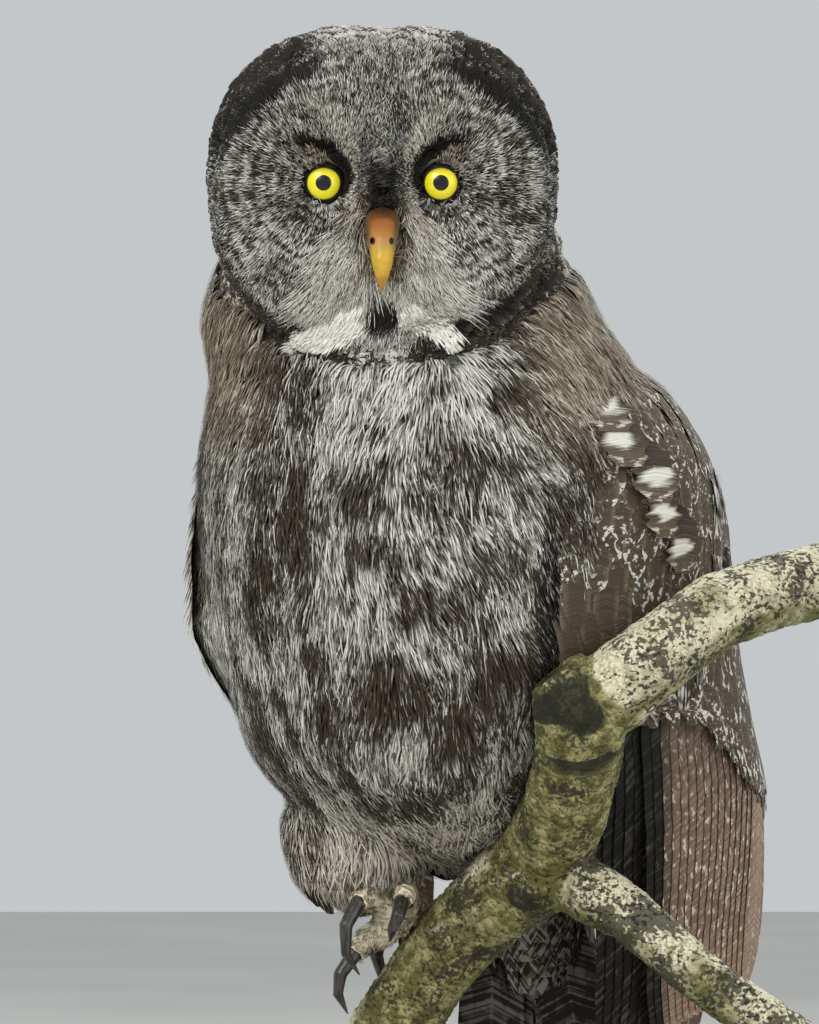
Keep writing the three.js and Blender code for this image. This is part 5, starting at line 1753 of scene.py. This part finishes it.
class OWL_OT_grow_tail(bpy.types.Operator):
    """Makes the tail feathers and the coverts at their root"""

    bl_idname = "owl.grow_tail"
    bl_label = "Grow the tail"

    def execute(self, context):
        rng = np.random.default_rng(looks().seed + 11)
        pairs, step, slope = 6, 1.1, 0.15
        root_up, tip_up = 262.0, 34.0
        roots, tips = [], []
        for order in range(2 * pairs):
            pair, side = order // 2, -1 if order % 2 else 1
            forward = -90 + step * order
            low = tip_up + 1.15 * pair**2
            roots.append((side * (3 + 2.4 * pair), forward, root_up))
            tips.append((side * (5 + 6 * pair), forward - slope * (root_up - low), low))
        roots, tips = np.array(roots), np.array(tips)
        patterns = [vane_pattern(rng, 34, 0.05, 0.3, WIDE_VANE) for unused in range(6)]
        joints = 6
        shares = np.linspace(0, 1, joints + 1)[None, :, None]
        line = (roots[:, None] + (tips - roots)[:, None] * shares) * MM
        shafts = on_body(line[..., 0], line[..., 1], line[..., 2])
        back = unit(on_body(0, -1, 0) - on_body(0, 0, 0))
        normals = np.broadcast_to(back, shafts.shape).copy()
        material = plumage(
            "tail_plumage", barbs=120, bars=0.5, bar_count=7, flecks=0.5, spread=(6, 60, 1), shaft=0.4
        )

        def marks(points, roots, along, across, seeds):
            tones = looks()
            pale = mix3(tones.grey_plume, tones.brown_plume, 0.7)
            dark = mix3(tones.brown_plume, tones.black_plume, 0.75)
            marking = 0.8 + 0.2 * (seeds - 0.5)
            fleck = 0.5 + 0.5 * np.abs(across)
            return spread_marks(points, pale=pale, dark=dark, marking=marking, fleck=fleck, barring=0.8)

        spots = np.stack([0.1 + 0.8 * np.arange(2 * pairs) / (2 * pairs), np.full(2 * pairs, 0.5)], axis=-1)
        widths = np.full(2 * pairs, 38 * MM)
        piece = grow(
            "tail_feathers", patterns, shafts, normals, widths,
            lambda along: 0 * along, 0.6 * MM, marks, spots, 91,
        )
        finish_piece(piece, material, "plumage_tail", "tail")
        self.coverts(rng)
        return {"FINISHED"}

    def coverts(self, rng):
        """Soft feathers over the tail's root, above and below it"""
        rows = []
        for height in np.arange(300, 196, -8.0):
            share = (300 - height) / 104
            half, deep, forward = 44 - 14 * share, 29 - 18 * share, -58 - 48 * share
            count = 22
            for k in range(count):
                angle = 2 * np.pi * (k + 0.5 * rng.random()) / count
                aside, onward = np.cos(angle), np.sin(angle)
                rows.append((half * aside, forward + deep * onward, height, aside, onward))
        rows = np.array(rows)
        root = rows[:, :3]
        slope = np.array([0, -0.42, -1.0])
        length = rng.uniform(30, 44, len(rows))
        joints = np.linspace(0, 1, 5)[None, :, None]
        line = root[:, None] + slope * length[:, None, None] * joints
        aside = root[:, None, 0]
        line[..., 0] -= 0.28 * joints[..., 0] * length[:, None] * np.sign(aside) * np.abs(aside) / 44
        shafts = on_body(line[..., 0] * MM, line[..., 1] * MM, line[..., 2] * MM)
        out = unit(on_body(rows[:, 3], rows[:, 4], 0 * rows[:, 3]) - on_body(0, 0, 0))
        normals = np.repeat(out[:, None], 5, axis=1)
        patterns = [vane_pattern(rng, 8, 0.3, 0.4) for unused in range(6)]
        piece = grow(
            "tail_coverts", patterns, shafts, normals, np.full(len(rows), 19 * MM),
            lambda along: (-3 + 3 * along) * MM, 1.2 * MM, under_tail_marks, wrapped(shafts[:, 0]), 92,
        )
        finish_piece(piece, plumage("tail_covert_plumage", barbs=14, bars=0.8, bar_count=4), "plumage_grey")


# Branch centre lines, in millimetres

LIMBS = {
    "lower": [(-78, -8, 162), (-58.5, -13, 189), (-44, -17, 210), (-30.5, -21, 228.5),
              (-6.5, -32, 252), (11.5, -46, 264)],
    "upright": [(11.5, -46, 264), (14, -54, 272), (21.5, -78, 293), (27.5, -99, 318),
                (30, -112, 338), (24, -117, 352), (16, -118, 362)],
    "upper": [(28, -113, 336), (44, -118, 351), (57.5, -116, 364), (79.5, -105, 379),
              (97.5, -92, 391), (113.5, -79, 397.5), (140, -58, 404.5), (172, -32, 412)],
    "side": [(14, -50, 262), (36.5, -64, 251), (54, -73, 240), (70, -80, 226),
             (86, -84, 213), (103, -86, 200), (121.5, -88, 188), (150, -90.5, 170)],
}


def along_limb(places, line):
    """How far along a limb each place lies, and how far off its middle"""
    line = np.asarray(line) * MM
    best = np.full(len(places), 9.0)
    along = np.zeros(len(places))
    done = 0.0
    for a, b in zip(line[:-1], line[1:]):
        reach = np.linalg.norm(b - a)
        share = np.clip(((places - a) @ (b - a)) / reach**2, 0, 1)
        off = np.linalg.norm(places - a - share[:, None] * (b - a), axis=1)
        nearer = off < best
        best = np.where(nearer, off, best)
        along = np.where(nearer, done + share * reach, along)
        done += reach
    return along, best


class OWL_OT_carve_branch(bpy.types.Operator):
    """Makes the cut branch in one piece, with ringed bark, knots and crust"""

    bl_idname = "owl.carve_branch"
    bl_label = "Carve the branch"

    def execute(self, context):
        nodes = ("perch_lower_limb", "perch_upright", "perch_upper_limb", "perch_side_branch")
        piece = remeshed(merged_copy(*nodes, name="branch"), 1.5 * MM, 6)
        places, outs = points_of(piece)
        found = {name: along_limb(places, line) for name, line in LIMBS.items()}
        names = list(LIMBS)
        nearest = np.argmin([found[name][1] for name in names], axis=0)
        along = np.choose(nearest, [found[name][0] + 0.3 * k for k, name in enumerate(names)])
        pale = np.choose(nearest, [0.15, 0.0, 0.95, 0.75]).astype(float)
        from_fork = np.linalg.norm(places - np.array([30, -117, 338]) * MM, axis=1)
        pale -= 0.9 * (1 - blend_in(from_fork, 22 * MM, 34 * MM))
        pale = pale + 0.8 * (mottle(places, (19 * MM,) * 3, 101) - 0.5)
        worn = np.choose(nearest, [0.5, 0.35, 0.4, 1.0]).astype(float)
        wobble = mottle(places, (9 * MM,) * 3, 103) - 0.5
        ridge = np.sin((along + 4 * MM * wobble) / (2.1 * MM) * np.pi)
        coarse = mottle(places, (6 * MM,) * 3, 105) - 0.5
        fine = mottle(places, (2.6 * MM,) * 3, 107) - 0.5
        ringed = np.choose(nearest, [0.8, 1.0, 0.15, 0.3])
        height = perch_looks().bark_grain * (0.35 * ridge * ringed + 1.1 * coarse + 0.9 * fine)
        for knot, size in (((30, -131, 341), 13), ((2, -60, 248), 12), ((12, -118, 366), 12)):
            away = np.linalg.norm(places - np.array(knot) * MM, axis=1) / (size * MM)
            height += 1.5 * MM * np.sin(np.minimum(away, 1.4) * 6) * (1 - blend_in(away, 0.5, 1.4))
            pale -= 1.5 * (1 - blend_in(away, 0.5, 1.1))
        move_points(piece, places + outs * (height - 0.3 * MM)[:, None])
        paint(piece, along=along, pale_share=pale, worn=worn)
        finish_piece(piece, self.bark_material(), "mossy_bark", *nodes)
        return {"FINISHED"}

    def bark_material(self):
        """Cream bark with black specks, over to ringed olive bark with dark crust"""
        tones = perch_looks()
        material, kit, shader = new_material("bark")
        place = kit.place()
        along = kit.attribute("along")
        broad = kit.noise(place, 38.0, 3.0)
        cloud = kit.noise(place, 130.0, 4.0)
        fine = kit.noise(place, 620.0, 3.0)
        turns = kit.plus(kit.times(along, 1 / (4.2 * MM)), kit.times(cloud, 4.0))
        ring = kit.math("SINE", kit.times(turns, FULL_TURN))
        cream = kit.mix(kit.ramp(cloud, 0.38, 0.66), tones.pale_bark, srgb(160, 150, 108))
        cream = kit.mix(kit.ramp(fine, 0.4, 0.62), cream, srgb(228, 222, 194))
        under = kit.parts(kit.node("ShaderNodeNewGeometry").outputs["Normal"])[2]
        green = kit.times(kit.ramp(kit.times(under, -1.0), -0.1, 0.6), kit.ramp(broad, 0.32, 0.55))
        cream = kit.mix(green, cream, srgb(104, 102, 50))
        olive = kit.mix(kit.ramp(cloud, 0.35, 0.62), srgb(172, 164, 112), tones.mossy_bark)
        olive = kit.mix(kit.times(kit.ramp(ring, 0.0, 1.0), 0.45), olive, srgb(58, 57, 22))
        olive = kit.mix(kit.times(kit.ramp(fine, 0.5, 0.66), 0.7), olive, srgb(34, 34, 11))
        mixing = kit.times(kit.minus(broad, 0.5), 2.4)
        share = kit.ramp(kit.plus(kit.attribute("pale_share"), mixing), 0.3, 0.75)
        colour = kit.mix(share, olive, cream)
        crust = kit.times(kit.noise(place, 42.0, 2.0), 0.75)
        crust = kit.plus(crust, kit.times(kit.noise(place, 420.0, 4.0), 0.6))
        rot = kit.plus(kit.times(kit.attribute("worn"), 0.1), crust)
        colour = kit.mix(kit.times(kit.ramp(rot, 0.77, 0.82), 0.85), colour, srgb(38, 35, 20))
        specks = kit.noise(kit.vector("MULTIPLY", place, (1, 1, 1.5)), 330.0, 4.0)
        crowd = kit.ramp(kit.noise(place, 45.0, 3.0), 0.38, 0.62, 0.0, 0.11)
        level = kit.minus(specks, kit.minus(0.64, crowd))
        black = kit.ramp(level, 0.0, 0.035)
        black = kit.times(black, kit.plus(kit.times(share, 0.55), 0.35))
        colour = kit.mix(black, colour, tones.dark_bark)
        knot = kit.ramp(kit.attribute("pale_share"), -0.9, -0.35, 0.9, 0.0)
        colour = kit.mix(knot, colour, srgb(24, 24, 12))
        height = kit.minus(kit.plus(fine, kit.times(cloud, 2.0)), black)
        bump = kit.bump(height, 0.7, 0.6 * MM)
        set_shader(kit, shader, Base_Color=colour, Roughness=0.85, Normal=bump)
        return material


class OWL_OT_finish_stand(bpy.types.Operator):
    """Gives the base and rods of the stand their wood and metal"""

    bl_idname = "owl.finish_stand"
    bl_label = "Finish the stand"

    def execute(self, context):
        wood, kit, shader = new_material("base_wood")
        place = kit.place()
        stretched = kit.vector("MULTIPLY", place, (6, 60, 60))
        rings = kit.noise(stretched, 1.0, 4.0)
        pores = kit.noise(kit.vector("MULTIPLY", place, (60, 900, 900)), 1.0, 2.0)
        colour = kit.mix(kit.ramp(rings, 0.3, 0.7), perch_looks().base_wood, srgb(58, 40, 27))
        colour = kit.mix(kit.ramp(pores, 0.6, 0.75, 0.0, 0.5), colour, srgb(34, 24, 16))
        bump = kit.bump(pores, 0.12, 0.2 * MM)
        gloss = kit.ramp(rings, 0.3, 0.7, 0.32, 0.45)
        set_shader(kit, shader, Base_Color=colour, Roughness=gloss, Normal=bump)
        metal, kit, shader = new_material("dark_metal")
        place = kit.place()
        brushed = kit.noise(kit.vector("MULTIPLY", place, (900, 900, 40)), 1.0, 2.0)
        colour = kit.mix(kit.ramp(brushed, 0.3, 0.7), srgb(48, 46, 43), srgb(70, 67, 62))
        gloss = kit.ramp(brushed, 0.3, 0.7, 0.35, 0.5)
        set_shader(kit, shader, Base_Color=colour, Roughness=gloss, Metallic=1.0)
        finishes = {"stand_base": wood, "stand_rod_lower_limb": metal, "stand_rod_side_branch": metal}
        for node, material in finishes.items():
            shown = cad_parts[node]
            shown.data.materials.clear()
            shown.data.materials.append(material)
        return {"FINISHED"}


class VIEW3D_PT_owl(bpy.types.Panel):
    """Sizes and steps of the owl"""

    bl_label = "Great Grey Owl"
    bl_space_type = "VIEW_3D"
    bl_region_type = "UI"
    bl_category = "Owl"

    def draw(self, context):
        for group in (context.scene.owl_looks, context.scene.perch_looks):
            for name in group.__annotations__:
                self.layout.prop(group, name)
        for step in STEPS:
            self.layout.operator(step.bl_idname)


GROUPS = (OwlLooks, PerchLooks)
STEPS = (
    OWL_OT_set_stage,
    OWL_OT_build_skin,
    OWL_OT_grow_coat,
    OWL_OT_grow_head,
    OWL_OT_grow_wings,
    OWL_OT_grow_tail,
    OWL_OT_grow_feet,
    OWL_OT_set_eyes,
    OWL_OT_shape_bill,
    OWL_OT_carve_branch,
    OWL_OT_finish_stand,
)


def register():
    """Adds the property groups, operators and panel to Blender"""
    for kind in (*GROUPS, *STEPS, VIEW3D_PT_owl):
        bpy.utils.register_class(kind)
    bpy.types.Scene.owl_looks = PointerProperty(type=OwlLooks)
    bpy.types.Scene.perch_looks = PointerProperty(type=PerchLooks)


def unregister():
    """Removes them again"""
    del bpy.types.Scene.perch_looks
    del bpy.types.Scene.owl_looks
    for kind in reversed((*GROUPS, *STEPS, VIEW3D_PT_owl)):
        bpy.utils.unregister_class(kind)


def main():
    """Builds every piece in order"""
    register()
    for step in STEPS:
        part, name = step.bl_idname.split(".")
        getattr(getattr(bpy.ops, part), name)()


if __name__ == "__main__":
    main()
